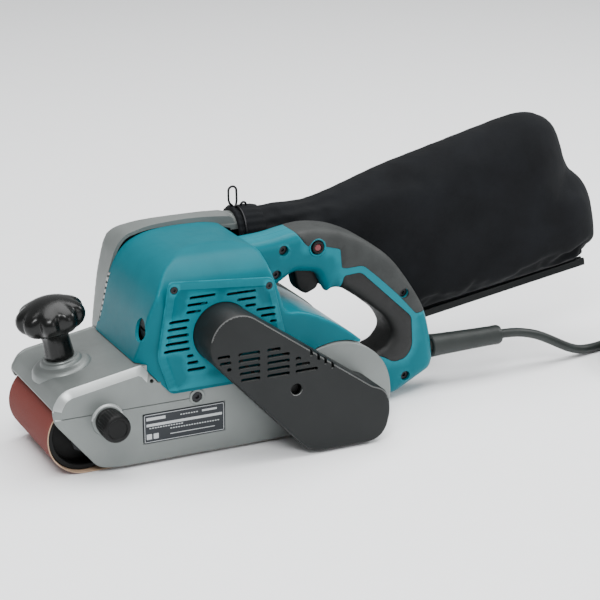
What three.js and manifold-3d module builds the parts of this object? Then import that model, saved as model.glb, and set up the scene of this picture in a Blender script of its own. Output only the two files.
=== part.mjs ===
// Handheld belt sander, 100 x 610 mm belt, with dust bag and mains lead.
// Millimetres, +Z up. The front roller is towards -Y and the machine's left side is +X.
// The origin is the centre of the belt's flat sanding face, which lies at Z = 0.
import * as THREE from 'three';
import * as BufferGeometryUtils from 'three/addons/utils/BufferGeometryUtils.js';
import Module from 'manifold-3d';

const wasm = await Module();
wasm.setup();

// ---- driving dimensions ------------------------------------------------------------------
const GAP = 0.3;
const BELT_WIDTH = 100;
const BELT_LENGTH = 610;
const BELT_THICKNESS = 1;
const BELT_R = 31.5;
const ROLLER_R = BELT_R - BELT_THICKNESS - GAP;
const AXLE_Y = (BELT_LENGTH - 2 * Math.PI * BELT_R) / 4;
const AXLE_Z = BELT_R;
const WALL_IN = 52;
const WALL_OUT = 57;
const DECK_TILT = THREE.MathUtils.degToRad(10.5);
const MOTOR = { y: 12, z: 106 };
const SEAM_X = -45;
const HOUSING_X = 60;
const PANEL_X = 63;
const COVER_X = 96;
const BOSS_R = 25;
const SCROLL_X = -79;
const NOZZLE = { x: -60, z: 149.5, r: 18.5, y: 81 };
const DRIVEN_R = 24;
const PINION_R = 6;
const DRIVE_BELT_T = 2;
const HANDLE_HALF = 18.5;
const GRIP_SKIN = 3;
const CORD_R = 4.25;
const CORD_Z = 38.6;
const GUARD_END_Y = 309;
const COIL = { x: 39, y: 478, r: 51, band: 13, height: 25.5 };
const PLUG_X = 58;
const BAG = { x: NOZZLE.x, y: 290, z: 128, half: 29 };
const KNOB = { y: -103.5, z: 76 };
const TRACKING = { y: -86, z: 45 };
const LEVER = { x: -41, y: -44 };
const BRUSH = { x: 42, z: 111 };
const LOCK = { y: 118, z: 151 };
const PANEL_SCREWS = [[-29, 147], [53.5, 139.5]];
const HANDLE_SCREWS = [[87, 152], [80.5, 131.5], [201.5, 98.5], [204, 22]];
const FRAME_SCREW = { y: -9, z: 52 };
const COVER_SCREW = { y: 62, z: 60 };

const COLOUR = {
  teal: 0x0f8596,
  silver: 0x9ba3a1,
  black: 0x1b1c1c,
  darkGrey: 0x3b4041,
  gripGrey: 0x5b5e5e,
  gripDark: 0x333434,
  belt: 0x96342a,
  steel: 0xb4b7ba,
  copper: 0x9a5b32,
  fabric: 0x25272c,
  plate: 0x3c4043,
  cork: 0x9a7650,
  red: 0xa33a3a,
};

// ---- solids ------------------------------------------------------------------------------
function signedVolume(position, index) {
  let sum = 0;
  const a = new THREE.Vector3();
  const b = new THREE.Vector3();
  const c = new THREE.Vector3();
  for (let i = 0; i < index.length; i += 3) {
    a.fromArray(position, index[i] * 3);
    b.fromArray(position, index[i + 1] * 3);
    c.fromArray(position, index[i + 2] * 3);
    sum += a.dot(b.cross(c));
  }
  return sum / 6;
}

function solid(geometry) {
  const bare = geometry.clone();
  bare.deleteAttribute('normal');
  bare.deleteAttribute('uv');
  const merged = BufferGeometryUtils.mergeVertices(bare, 1e-4);
  const position = merged.attributes.position.array;
  const index = merged.index.array;
  const kept = [];
  for (let i = 0; i < index.length; i += 3) {
    const [a, b, c] = [index[i], index[i + 1], index[i + 2]];
    if (a !== b && b !== c && c !== a) kept.push(a, b, c);
  }
  if (signedVolume(position, kept) < 0) kept.reverse();
  const mesh = new wasm.Mesh({
    numProp: 3,
    vertProperties: new Float32Array(position),
    triVerts: new Uint32Array(kept),
  });
  return new wasm.Manifold(mesh);
}

function geometryOf(manifold) {
  const mesh = manifold.getMesh();
  const geometry = new THREE.BufferGeometry();
  geometry.setAttribute('position', new THREE.BufferAttribute(new Float32Array(mesh.vertProperties), 3));
  geometry.setIndex(new THREE.BufferAttribute(new Uint32Array(mesh.triVerts), 1));
  geometry.computeVertexNormals();
  return geometry;
}

function union(...solids) {
  return solids.reduce((sum, next) => sum.add(next));
}

function cut(body, ...tools) {
  return tools.reduce((rest, tool) => rest.subtract(tool), body);
}

// An outline of [u, v] or [u, v, radius] corners as a closed shape with rounded corners.
function shapeOf(corners) {
  const shape = new THREE.Shape();
  corners.forEach(([u, v, radius = 0], i) => {
    const here = new THREE.Vector2(u, v);
    const last = corners[(i + corners.length - 1) % corners.length];
    const next = corners[(i + 1) % corners.length];
    const before = new THREE.Vector2(last[0], last[1]).sub(here);
    const after = new THREE.Vector2(next[0], next[1]).sub(here);
    const reach = Math.min(radius, before.length() * 0.48, after.length() * 0.48);
    const start = here.clone().addScaledVector(before.normalize(), reach);
    const end = here.clone().addScaledVector(after.normalize(), reach);
    if (i === 0) shape.moveTo(start.x, start.y);
    else shape.lineTo(start.x, start.y);
    if (reach > 0) shape.quadraticCurveTo(here.x, here.y, end.x, end.y);
  });
  shape.closePath();
  return shape;
}

const Y_Z_X = new THREE.Matrix4().makeBasis(
  new THREE.Vector3(0, 1, 0), new THREE.Vector3(0, 0, 1), new THREE.Vector3(1, 0, 0));
const X_Z_Y = new THREE.Matrix4().makeBasis(
  new THREE.Vector3(1, 0, 0), new THREE.Vector3(0, 0, 1), new THREE.Vector3(0, -1, 0));

function extrude(shape, depth, options = {}) {
  return new THREE.ExtrudeGeometry(shape, { depth, bevelEnabled: false, curveSegments: 2, ...options });
}

// Side outline (Y, Z) from x0 to x1, plan outline (X, Y) from z0 to z1, front outline (X, Z).
function side(shape, x0, x1, options) {
  return solid(extrude(shape, x1 - x0, options).applyMatrix4(Y_Z_X).translate(x0, 0, 0));
}

function plan(shape, z0, z1, options) {
  return solid(extrude(shape, z1 - z0, options).translate(0, 0, z0));
}

function front(shape, y0, y1, options) {
  return solid(extrude(shape, y1 - y0, options).applyMatrix4(X_Z_Y).translate(0, y1, 0));
}

function box(x0, x1, y0, y1, z0, z1) {
  const geometry = new THREE.BoxGeometry(x1 - x0, y1 - y0, z1 - z0);
  return solid(geometry.translate((x0 + x1) / 2, (y0 + y1) / 2, (z0 + z1) / 2));
}

// A round piece from a [radius, height] profile, standing on Z.
function turnedZ(profile, segments = 20) {
  const points = profile.map(([r, h]) => new THREE.Vector2(r, h));
  return solid(new THREE.LatheGeometry(points, segments).rotateX(Math.PI / 2));
}

// The same with its axis along +X or +Y.
function turnedX(profile, segments = 20) {
  const points = profile.map(([r, h]) => new THREE.Vector2(r, h));
  return solid(new THREE.LatheGeometry(points, segments).rotateZ(-Math.PI / 2));
}

function turnedY(profile, segments = 20) {
  const points = profile.map(([r, h]) => new THREE.Vector2(r, h));
  return solid(new THREE.LatheGeometry(points, segments));
}

function rod(r, h0, h1) {
  return [[0, h0], [r, h0], [r, h1], [0, h1]];
}

function ring(inner, outer, h0, h1) {
  return [[inner, h0], [outer, h0], [outer, h1], [inner, h1], [inner, h0]];
}

function rodX(r, x0, x1, y, z, segments = 16) {
  return turnedX(rod(r, x0, x1), segments).translate([0, y, z]);
}

function rodY(r, y0, y1, x, z, segments = 16) {
  return turnedY(rod(r, y0, y1), segments).translate([x, 0, z]);
}

function rodZ(r, z0, z1, x, y, segments = 16) {
  return turnedZ(rod(r, z0, z1), segments).translate([x, y, 0]);
}

// ---- scene -------------------------------------------------------------------------------
const sander = new THREE.Group();

function part(name, manifold, color, roughness, metalness, parent = sander) {
  const material = new THREE.MeshStandardMaterial({ color, roughness, metalness });
  const mesh = new THREE.Mesh(geometryOf(manifold), material);
  mesh.name = name;
  parent.add(mesh);
  return mesh;
}

function groupAt(x, y, z) {
  const group = new THREE.Group();
  group.position.set(x, y, z);
  sander.add(group);
  return group;
}

// ---- belt, rollers and their carriers ------------------------------------------------------
function stadium(r) {
  const shape = new THREE.Shape();
  shape.moveTo(-AXLE_Y, AXLE_Z - r);
  shape.lineTo(AXLE_Y, AXLE_Z - r);
  shape.absarc(AXLE_Y, AXLE_Z, r, -Math.PI / 2, Math.PI / 2, false);
  shape.lineTo(-AXLE_Y, AXLE_Z + r);
  shape.absarc(-AXLE_Y, AXLE_Z, r, Math.PI / 2, 1.5 * Math.PI, false);
  return shape;
}

function addBelt() {
  const outline = stadium(BELT_R);
  outline.holes.push(stadium(BELT_R - BELT_THICKNESS));
  const belt = side(outline, -BELT_WIDTH / 2, BELT_WIDTH / 2, { curveSegments: 10 });
  part('sanding_belt', belt, COLOUR.belt, 0.95, 0);
}

function addPlatens() {
  const lips = [-66, 66].map((y) => side(shapeOf([
    [y - 0.5, 2.3], [y + 0.5, 2.3], [y + 0.5, 5], [y - 0.5, 5]]), -49, 49));
  const floor = side(shapeOf([[-66.5, 1.3], [66.5, 1.3], [66.5, 2.3], [-66.5, 2.3]]), -49, 49);
  part('shoe_plate', union(floor, ...lips), COLOUR.steel, 0.45, 0.9);
  part('cork_pad', box(-46, 46, -60, 62, 2.6, 5), COLOUR.cork, 0.95, 0);
}

function addRearRoller() {
  const group = groupAt(0, AXLE_Y, AXLE_Z);
  const cup = turnedX([
    [6.8, -47], [27.5, -47], [27.5, 47], [22, 47], [22, -38], [6.8, -38], [6.8, -47]], 20);
  part('rear_roller', cup, COLOUR.steel, 0.5, 0.8, group);
  part('roller_sleeve', turnedX(ring(27.8, ROLLER_R, -47, 47), 24), COLOUR.black, 0.8, 0, group);
  const shaft = turnedX([
    [0, -49], [6.5, -49], [6.5, 68], [5, 68], [5, 90], [0, 90]], 16);
  part('drive_shaft', shaft, COLOUR.steel, 0.35, 1, group);
  const rim = DRIVEN_R;
  const pulley = turnedX([
    [5.3, 70], [12, 70], [12, 77], [rim - 4, 77], [rim - 4, 72], [rim, 72], [rim, 88],
    [rim - 4, 88], [rim - 4, 81], [12, 81], [12, 89], [5.3, 89], [5.3, 70]], 20);
  part('driven_pulley', pulley, COLOUR.steel, 0.4, 0.9, group);
  for (const [name, x] of [['rear_bearing_inner', 17], ['rear_bearing_outer', 46]]) {
    const race = part(name, turnedX(ring(6.8, 13, 0, 10), 20), COLOUR.steel, 0.3, 1, group);
    race.position.x = x;
  }
}

function addFrontRoller() {
  const group = groupAt(0, -AXLE_Y, AXLE_Z);
  const half = 46;
  const roller = turnedX([
    [5.3, -half + 4], [11, -half + 4], [11, -half + 12], [26, -half + 12], [26, -half], [ROLLER_R, -half],
    [ROLLER_R, half], [26, half], [26, half - 12], [11, half - 12], [11, half - 4], [5.3, half - 4],
    [5.3, -half + 4]], 20);
  part('front_roller', roller, COLOUR.black, 0.6, 0.2, group);
  part('front_axle', turnedX(rod(5, -49.2, 49.2), 16), COLOUR.steel, 0.35, 1, group);
}

function addRollerCarrier() {
  const armOutline = [[-AXLE_Y - 11, 20, 8], [-AXLE_Y - 11, 43, 8], [-74, 49], [-66, 49], [-66, 14],
    [-74, 14]];
  const arms = [-49.3, 47].map((x) => side(shapeOf(armOutline), x, x + 2.3));
  const back = box(-49.3, 49.3, -70, -66, 14, 49);
  const stem = rodY(6, -67, -24, 0, AXLE_Z, 16);
  const bore = rodX(5.3, -55, 55, -AXLE_Y, AXLE_Z, 16);
  part('roller_carrier', cut(union(back, stem, ...arms), bore), COLOUR.steel, 0.45, 0.9);
  const spring = turnedY(ring(7.5, 10, -65.7, -40.3), 16).translate([0, 0, AXLE_Z]);
  part('tension_spring', spring, COLOUR.steel, 0.4, 1);
}

function addTensionLever() {
  const hub = rodZ(7, 20, 36, LEVER.x, LEVER.y, 20);
  const arm = plan(shapeOf([
    [-48, -46], [-44.6, -46], [-44.6, 20], [-47, 34, 3], [-52, 42, 3], [-54, 40, 2], [-49.5, 30, 4],
    [-48, 20]]), 22, 34);
  const pin = rodZ(3.3, 10, 50, LEVER.x, LEVER.y, 16);
  part('tension_lever', cut(union(hub, arm), pin), COLOUR.darkGrey, 0.6, 0.1);
  part('lever_pin', rodZ(3, 12, 46, LEVER.x, LEVER.y, 16), COLOUR.steel, 0.35, 1);
}

// ---- frame -------------------------------------------------------------------------------
const DECK_LINE = [[-131, 59, 6], [-124.5, 70, 5], [-118, 74, 4], [-57, 84.8]];
const FENDER_OUT = [[92, 70], [99, 76, 8], [116, 79.2, 12], [131, 77.5, 14], [144, 72, 14], [155, 64, 14],
  [163.5, 53, 14], [168, 40, 14], [169.3, 24, 10], [166, 10, 4]];
const FENDER_IN = [[162.5, 10, 2], [165.5, 24, 8], [164.3, 39, 12], [160.2, 51.5, 12], [152.5, 61.2, 12],
  [142.3, 68.8, 12], [130.2, 74, 12], [116, 75.7, 10], [101, 73, 4], [96, 66]];

function knobBoss() {
  const steps = [[0, -6], [24, -6], [23, 0.5], [21.5, 2.5], [18.5, 3], [17, 5.2], [14.5, 5.8],
    [13.5, 7.2], [0, 7.2]];
  return turnedZ(steps, 20)
    .rotate([THREE.MathUtils.radToDeg(DECK_TILT), 0, 0])
    .translate([0, KNOB.y, KNOB.z]);
}

// The deck and fender lie a little below the rims of the side walls.
function setIn(line) {
  return line.map(([y, z, r]) => [y - Math.sign(y) * 0.5, z - 0.5, r]);
}

function addFrame() {
  const wall = side(shapeOf([
    [-129, 47, 4], ...DECK_LINE, [-57, 70], ...FENDER_OUT, [150, 2.6], [-80, 2.6, 10],
    [-95, 5.5, 6]]), WALL_IN, WALL_OUT);
  const cornerCut = side(shapeOf([[-49.5, 95], [-49.5, 78.6], [-32.5, 59], [-32.5, 95]]),
    WALL_OUT - 0.5, 60);
  const deck = side(shapeOf([
    [-128.4, 57, 1.5], ...setIn(DECK_LINE), [-50, 84.3], [-50, 70], [96, 70], [96, 66.3], [-54, 66.3],
    [-54, 80.6],
    [-57, 80.6], [-117.5, 69.8, 4], [-121.5, 66.5, 4], [-126.5, 57, 1]]), -52, WALL_IN + 0.5);
  const cheek = side(shapeOf([
    [-127, 50.5, 3], ...DECK_LINE, [-50, 84.8], [-50, 66.3], [-106, 66.3, 6], [-117, 61, 4]]), -55, -51.5);
  const fender = side(shapeOf([...setIn(FENDER_OUT), ...FENDER_IN]), -52, WALL_IN + 0.5);
  const core = box(-44, WALL_IN + 0.5, -52, 60, 5.3, 58);
  const coreHollow = box(-36, WALL_IN - 6, 6, 52, 4, 52);
  const leverPocket = box(-60, -32, -60, -35, 19, 37);
  const pinBore = rodZ(3.3, 11.5, 46.5, LEVER.x, LEVER.y, 16);
  const springPocket = rodY(10.6, -60, -40, 0, AXLE_Z, 16);
  const stemBore = rodY(6.3, -60, 4, 0, AXLE_Z, 16);
  const hub = turnedX(ring(13.3, 19, 14.5, WALL_IN + 0.5), 24).translate([0, AXLE_Y, AXLE_Z]);
  const hubBore = rodX(13.3, 50, 60, AXLE_Y, AXLE_Z, 24);
  const trackingBoss = rodX(13.3, WALL_IN, WALL_OUT + 1.6, TRACKING.y, TRACKING.z, 24);
  const trackingBore = rodX(3.4, 45, 70, TRACKING.y, TRACKING.z, 12);
  const screwBoss = rodX(6.6, WALL_IN, WALL_OUT + 1, FRAME_SCREW.y, FRAME_SCREW.z, 16);
  const screwBore = union(
    rodX(4.4, 53.8, 70, FRAME_SCREW.y, FRAME_SCREW.z, 14), rodX(2.7, 48, 54, FRAME_SCREW.y,
      FRAME_SCREW.z, 10));
  const dimple = rodX(1.8, 55.5, 70, -47.5, 73, 10);
  const knobBore = turnedZ(rod(4.3, -20, 20), 12)
    .rotate([THREE.MathUtils.radToDeg(DECK_TILT), 0, 0]).translate([0, KNOB.y, KNOB.z]);
  const plateRecess = box(WALL_OUT - 0.4, 60, -56.6, 15.6, 18.4, 44.6);
  const frame = cut(
    union(cut(wall, cornerCut), deck, cheek, fender, core, hub, trackingBoss, screwBoss, knobBoss()),
    coreHollow, leverPocket, pinBore, springPocket, stemBore, hubBore, trackingBore, screwBore, dimple,
    knobBore, plateRecess);
  part('frame', frame, COLOUR.silver, 0.45, 0.6);
  part('name_plate', box(57, 57.8, -56, 15, 19, 44), COLOUR.plate, 0.5, 0.2);
}

function addFrameScrew() {
  const screw = cut(turnedX([[0, -4], [2.4, -4], [2.4, 0], [4, 0], [4, 3], [0, 3]], 14),
    turnedX(rod(2, 1.4, 5), 6));
  part('frame_screw', screw, COLOUR.steel, 0.4, 1).position.set(54, FRAME_SCREW.y, FRAME_SCREW.z);
}

// ---- knob and tracking adjuster ------------------------------------------------------------
// A turned piece whose rim swells and dips into lobes.
function lobedTurning(profile, lobes, depth, segments) {
  const points = profile.map(([r, h]) => new THREE.Vector2(r, h));
  const geometry = new THREE.LatheGeometry(points, segments);
  const position = geometry.attributes.position;
  const rim = Math.max(...profile.map(([r]) => r));
  for (let i = 0; i < position.count; i += 1) {
    const x = position.getX(i);
    const z = position.getZ(i);
    const swell = (depth * Math.cos(lobes * Math.atan2(z, x)) * Math.hypot(x, z)) / rim;
    const scale = 1 + swell / rim;
    position.setX(i, x * scale);
    position.setZ(i, z * scale);
  }
  return geometry;
}

function addFrontKnob() {
  const group = groupAt(0, KNOB.y, KNOB.z);
  group.rotation.x = DECK_TILT;
  const headProfile = [
    [0, 29.5], [15, 30], [24, 35], [27.2, 44], [24.5, 54.5], [14, 61.5], [0, 62.6]];
  const head = solid(lobedTurning(headProfile, 8, 1.3, 40).rotateX(Math.PI / 2));
  const stem = turnedZ([[0, 7.6], [12, 7.6], [11.4, 25], [14, 32], [0, 32]], 16);
  part('front_knob', union(head, stem), COLOUR.black, 0.2, 0, group);
  const bolt = turnedZ([[0, -8], [4, -8], [4, 7.2], [0, 7.2]], 12);
  part('knob_bolt', bolt, COLOUR.steel, 0.35, 1, group);
}

function addTrackingKnob() {
  const headProfile = [
    [0, WALL_OUT + 2], [11.3, WALL_OUT + 2], [11.6, WALL_OUT + 3], [11.4, 79.5], [10.4, 80.5], [0, 80.5]];
  const head = solid(lobedTurning(headProfile, 12, 0.3, 36).rotateZ(-Math.PI / 2));
  const stem = turnedX(rod(3, 50, 60), 12);
  const knob = part('tracking_knob', union(head, stem), COLOUR.black, 0.55, 0);
  knob.position.set(0, TRACKING.y, TRACKING.z);
}

// ---- motor housing and what it holds -------------------------------------------------------
const HOUSING_TOP = [[-52.5, 104, 20], [-47.5, 126, 20], [-40, 145, 14], [-30, 157.5, 14], [-13, 164.8, 14],
  [10, 167, 16]];
const HOUSING_IN = [[-56, 50], [-55, 86], [-49.5, 105, 20], [-44.5, 125, 20], [-37.5, 143, 12],
  [-28.5, 154.5, 12],
  [-12.5, 161.6, 12], [10, 164, 12], [69, 164], [69, 50]];

function slots(rows, x0, x1, height) {
  return rows.map(([y0, y1, z]) => box(x0, x1, y0, y1, z - height / 2, z + height / 2));
}

function addMotorHousing() {
  const outer = side(shapeOf([
    [-58, 85.1], ...HOUSING_TOP, [72, 167], [72, 112], [84, 107.2, 6], [130, 84, 12], [142, 75.6],
    [141, 74.2],
    [131.5, 78.4, 8], [116, 80, 8], [98.5, 77, 6], [90, 71.5], [90, 59, 3], [-32, 59, 3],
    [-49, 78.4, 3], [-54, 85.1]]),
  SEAM_X + GAP, HOUSING_X);
  const roundTop = front(shapeOf([
    [-60, 40], [-60, 167.4], [10, 167.2], [38, 162, 20], [56, 146, 24], [HOUSING_X, 124, 16],
    [HOUSING_X, 40]]),
  -70, 160);
  const roundFront = plan(shapeOf([
    [-60, -70], [24, -70], [46, -58, 14], [HOUSING_X, -38, 12], [HOUSING_X, 90], [56.6, 90], [50, 160],
    [-60, 160]]), 40, 175);
  const inside = side(shapeOf(HOUSING_IN), SEAM_X - 1, HOUSING_X - 3)
    .intersect(front(shapeOf([
      [-60, 40], [-60, 164], [10, 163.6], [36.5, 158.8, 18], [53.4, 144.3, 20], [57.3, 124, 12],
      [57.3, 40]]), -70, 160))
    .intersect(plan(shapeOf([
      [-60, -70], [22.5, -70], [44, -55.5, 12], [57.3, -37, 10], [57.3, 80], [-60, 80]]), 40, 175));
  const overFrame = box(-60, 57.3, -54, 92, 40, 70.4);
  const overDeck = box(-60, 57.3, -60, -49.6, 40, 85.1);
  const sideWindow = cut(
    side(shapeOf([[-22, 142], [50, 134], [58, 100], [58, 74], [-30, 74], [-30, 98]]), 50, 70),
    rodX(29, 40, 80, MOTOR.y, MOTOR.z, 24),
    box(40, 80, MOTOR.y - 9, MOTOR.y + 9, 60, MOTOR.z));
  const bearingBoss = turnedX(ring(13.2, 17.5, 49, 57.5), 24).translate([0, MOTOR.y, MOTOR.z]);
  const shaftBore = rodX(5.6, 40, 70, MOTOR.y, MOTOR.z, 16);
  const brushBore = rodY(9.4, -70, -30, BRUSH.x, BRUSH.z, 20);
  const teeth = [];
  for (let z = 93; z < 137; z += 5) teeth.push(box(-60, -41.5, -60, -30, z, z + 3));
  const screwHoles = PANEL_SCREWS.map(([y, z]) => rodX(1.9, 50, 64, y, z, 10));
  const housing = union(cut(
    outer.intersect(roundTop).intersect(roundFront), inside, overFrame, overDeck, sideWindow, brushBore,
    ...teeth,
    ...screwHoles), bearingBoss);
  part('motor_housing', cut(housing, shaftBore), COLOUR.teal, 0.35, 0);
}

function addVentCover() {
  const rim = side(shapeOf([
    [-33, 154, 4], [57, 146, 4], [68, 98, 4], [68, 62, 4], [-36, 62, 4], [-44, 92, 6]]),
    HOUSING_X + GAP, PANEL_X);
  const lower = box(50, 70, -60, 80, 40, 62.4);
  const hole = rodX(BOSS_R + 0.6, 50, 70, MOTOR.y, MOTOR.z, 24);
  const vents = slots([
    [-16, 7, 138.5], [-18, 0, 132.6], [-19, -6, 126.7], [-34, -16, 120.3], [-35.5, -18, 114.3],
    [-36.5, -17, 108.3], [-37.5, -17, 102.3], [-39, -16, 96.3], [-19, -13, 90], [-19, -9, 84],
    [-19, -3, 78],
    [16, 42, 137], [25, 42, 131], [32, 42, 125], [42, 59, 120.3], [46, 59, 114.5], [54, 60, 108.8]],
  50, 70, 2.6);
  const recess = side(shapeOf([
    [-27, 149.5, 3], [53, 142.5, 3], [62.5, 98, 3], [62.5, 50], [-38.5, 50], [-38.5, 92, 4]]),
    PANEL_X - 0.9, 70);
  const screwHoles = PANEL_SCREWS.map(([y, z]) => rodX(3.4, 50, 70, y, z, 12));
  part('vent_cover', cut(rim, lower, recess, hole, ...vents, ...screwHoles), COLOUR.teal, 0.35, 0);
  PANEL_SCREWS.forEach(([y, z], i) => {
    const screw = cut(turnedX([[0, -8], [1.6, -8], [1.6, 0.4], [3, 0.4], [3, 2.2], [0, 2.2]], 12),
      turnedX(rod(1.4, 1, 4), 6));
    const mesh = part(`panel_screw_${i + 1}`, screw, COLOUR.black, 0.4, 0.8);
    mesh.position.set(HOUSING_X, y, z);
  });
}

function addStator() {
  const group = groupAt(0, MOTOR.y, MOTOR.z);
  part('stator', turnedX(ring(23.5, 34.5, -20, 26), 20), COLOUR.steel, 0.6, 0.7, group);
  part('armature_core', turnedX(ring(5.3, 22.5, -20, 24), 20), COLOUR.steel, 0.5, 0.8, group);
  part('armature_shaft', turnedX([
    [0, -74.4], [4, -74.4], [4, -57], [5, -57], [5, 58], [4, 58], [4, 92], [0, 92]], 16),
    COLOUR.steel, 0.3, 1, group);
  part('commutator', turnedX(ring(5.3, 12, 34, 48), 20), COLOUR.copper, 0.35, 0.9, group);
  const pinion = turnedX(ring(4.3, PINION_R, 71, 89), 16);
  part('motor_pulley', pinion, COLOUR.steel, 0.4, 0.9, group);
  for (const [name, x] of [['armature_bearing_left', 49.6], ['armature_bearing_right', -56]]) {
    const race = part(name, turnedX(ring(5.3, 12.9, 0, 7), 20), COLOUR.steel, 0.3, 1, group);
    race.position.x = x;
  }
  part('cooling_fan', fan(5.3, 33, -43, -34, 10), COLOUR.black, 0.6, 0, group);
  part('dust_fan', fan(4.3, 34.5, -74, -60, 8), COLOUR.steel, 0.5, 0.7, group);
}

function fan(bore, r, x0, x1, blades) {
  const hub = turnedX(ring(bore, bore + 5, x0, x1), 16);
  const disc = turnedX(ring(bore + 2, r, x1 - 2, x1), 20);
  const vanes = [];
  for (let i = 0; i < blades; i += 1) {
    const vane = box(x0, x1 - 1, -0.9, 0.9, bore + 3, r - 1);
    vanes.push(vane.rotate([(i * 360) / blades, 0, 0]));
  }
  return union(hub, disc, ...vanes);
}

function addBrushes() {
  const { x, z } = BRUSH;
  const reach = { front: -1, rear: 1 };
  for (const [end, sign] of Object.entries(reach)) {
    const tip = MOTOR.y + sign * 12.6;
    const foot = end === 'front' ? -39 : 62;
    const tube = cut(
      box(x - 6.5, x + 6.5, Math.min(tip + sign * 2, foot), Math.max(tip + sign * 2, foot), z - 12, z + 2),
      box(x - 3.6, x + 3.6, Math.min(tip, foot + sign * 5), Math.max(tip, foot + sign * 5), z - 9, z - 1));
    part(`brush_holder_${end}`, tube, COLOUR.black, 0.6, 0);
  }
  const cap = cut(
    turnedY([[0, 0], [8.9, 0], [8.9, 6], [7.5, 8], [0, 8]], 20),
    box(-7, 7, -1, 1.6, -1.2, 1.2));
  const mesh = part('brush_cap', cap, COLOUR.black, 0.4, 0);
  mesh.position.set(x, -48, z);
}

// ---- dust side: fan scroll, duct and nozzle --------------------------------------------------
const SCROLL_TOP = [[-52, 104, 20], [-46.5, 129, 20], [-38.5, 153, 12], [-30, 163.5, 12], [-8, 169.3, 14],
  [26, 171, 16], [50, 169.8, 16], [69, 167.5, 4]];
const SCROLL = [[-56.5, 66.3], [-56.5, 86, 6], ...SCROLL_TOP, [71, 128], [71, 66.3]];
const SCROLL_IN = [[-53.5, 69], [-53.5, 86, 6], [-49.2, 104, 18], [-43.8, 128, 18], [-36, 151.5, 10],
  [-28.5, 161, 10], [-7.5, 166.6, 12], [26, 168.2, 14], [50, 167, 14], [66.5, 165], [68.4, 128],
  [68.4, 69]];
const DUCT = [[60, 66.3], [60, 128], [73, 126, 4], [96, 107, 10], [124, 90.5, 10], [151, 71.5, 14],
  [167, 47, 14],
  [169.3, 24, 6], [166, 14, 3], [137.5, 14, 3], [137.5, 66.3, 4]];
const DUCT_IN = [[71, 69], [71, 124], [94.5, 104.8, 9], [122.6, 88, 9], [149, 69.7, 12], [164.3, 46.3, 12],
  [166.5, 24.5, 5], [164, 17, 2], [140.2, 17, 2], [140.2, 69, 4]];

function addFanHousing() {
  const roundTop = front(shapeOf([
    [SCROLL_X, 60], [SCROLL_X, 154, 8], [SCROLL_X + 6, 165, 8], [SCROLL_X + 17, 171.5, 8], [-40, 171.5],
    [-40, 60]]), -70, 80);
  const roundFront = plan(shapeOf([
    [SCROLL_X, 80], [SCROLL_X, -32, 12], [SCROLL_X + 9, -48, 10], [SCROLL_X + 22, -58], [-40, -58],
    [-40, 80]]), 60, 175);
  const scrollBody = side(shapeOf(SCROLL), SCROLL_X,
    SEAM_X - GAP).intersect(roundTop).intersect(roundFront);
  const scrollInside = side(shapeOf(SCROLL_IN), -75, SEAM_X + 5);
  const duct = side(shapeOf(DUCT), -69, -55.3);
  const ductInside = side(shapeOf(DUCT_IN), -66.5, -50);
  const passage = box(-66.5, -50, 60, 74, 72, 122);
  const nozzle = rodY(NOZZLE.r, 60, NOZZLE.y, NOZZLE.x, NOZZLE.z, 24);
  const nozzleBore = rodY(NOZZLE.r - 2.5, 40, NOZZLE.y + 5, NOZZLE.x, NOZZLE.z, 24);
  const cheekRoom = box(-55.3, -44, -80, -49.7, 60, 85.1);
  const deckRoom = box(-55.3, -44, -60, 97, 60, 70.3);
  const housing = cut(
    cut(union(scrollBody, duct, cut(nozzle, box(-45.3, 0, 0, 100, 100, 200))),
      scrollInside, ductInside, passage),
    nozzleBore, cheekRoom, deckRoom);
  part('fan_housing', housing, COLOUR.silver, 0.45, 0.6);
}

function addBearingPlate() {
  const plate = side(shapeOf([
    [-49.6, 71], [-49.6, 85.1], [-52.8, 85.1], [-48.5, 104, 18], [-43.2, 127.8, 18], [-35.6, 151, 10],
    [-28.2, 160.3, 10],
    [-7.5, 165.9, 12], [26, 167.5, 14], [50, 166.3, 14], [65.8, 164.2], [67.7, 128], [67.7, 71]]),
    -49, -46.2);
  const boss = turnedX(ring(13.2, 17, -57, -46.2), 24).translate([0, MOTOR.y, MOTOR.z]);
  const bore = rodX(13.2, -60, -40, MOTOR.y, MOTOR.z, 24);
  const nozzleRoom = rodY(NOZZLE.r + GAP, 30, 90, NOZZLE.x, NOZZLE.z, 24);
  part('bearing_plate', cut(union(plate, boss), bore, nozzleRoom), COLOUR.silver, 0.5, 0.7);
}

// ---- drive cover and belt --------------------------------------------------------------------
function coverShape(inset) {
  const shape = new THREE.Shape();
  const r = BOSS_R - inset;
  const top = THREE.MathUtils.degToRad(55);
  const bottom = THREE.MathUtils.degToRad(224);
  shape.absarc(MOTOR.y, MOTOR.z, r, top, bottom, false);
  const points = [
    [68, 10], [74, 5], [84, 2], [132, 2], [140, 5.5], [145.5, 13], [148.6, 26], [147.6, 38], [144, 45.5],
    [138, 49.5], [132, 51.5]];
  const centre = new THREE.Vector2(105, 40);
  points.forEach(([y, z]) => {
    const away = new THREE.Vector2(y, z).sub(centre);
    away.setLength(away.length() - inset * 1.12);
    shape.lineTo(centre.x + away.x, centre.y + away.y);
  });
  shape.closePath();
  return shape;
}

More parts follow.
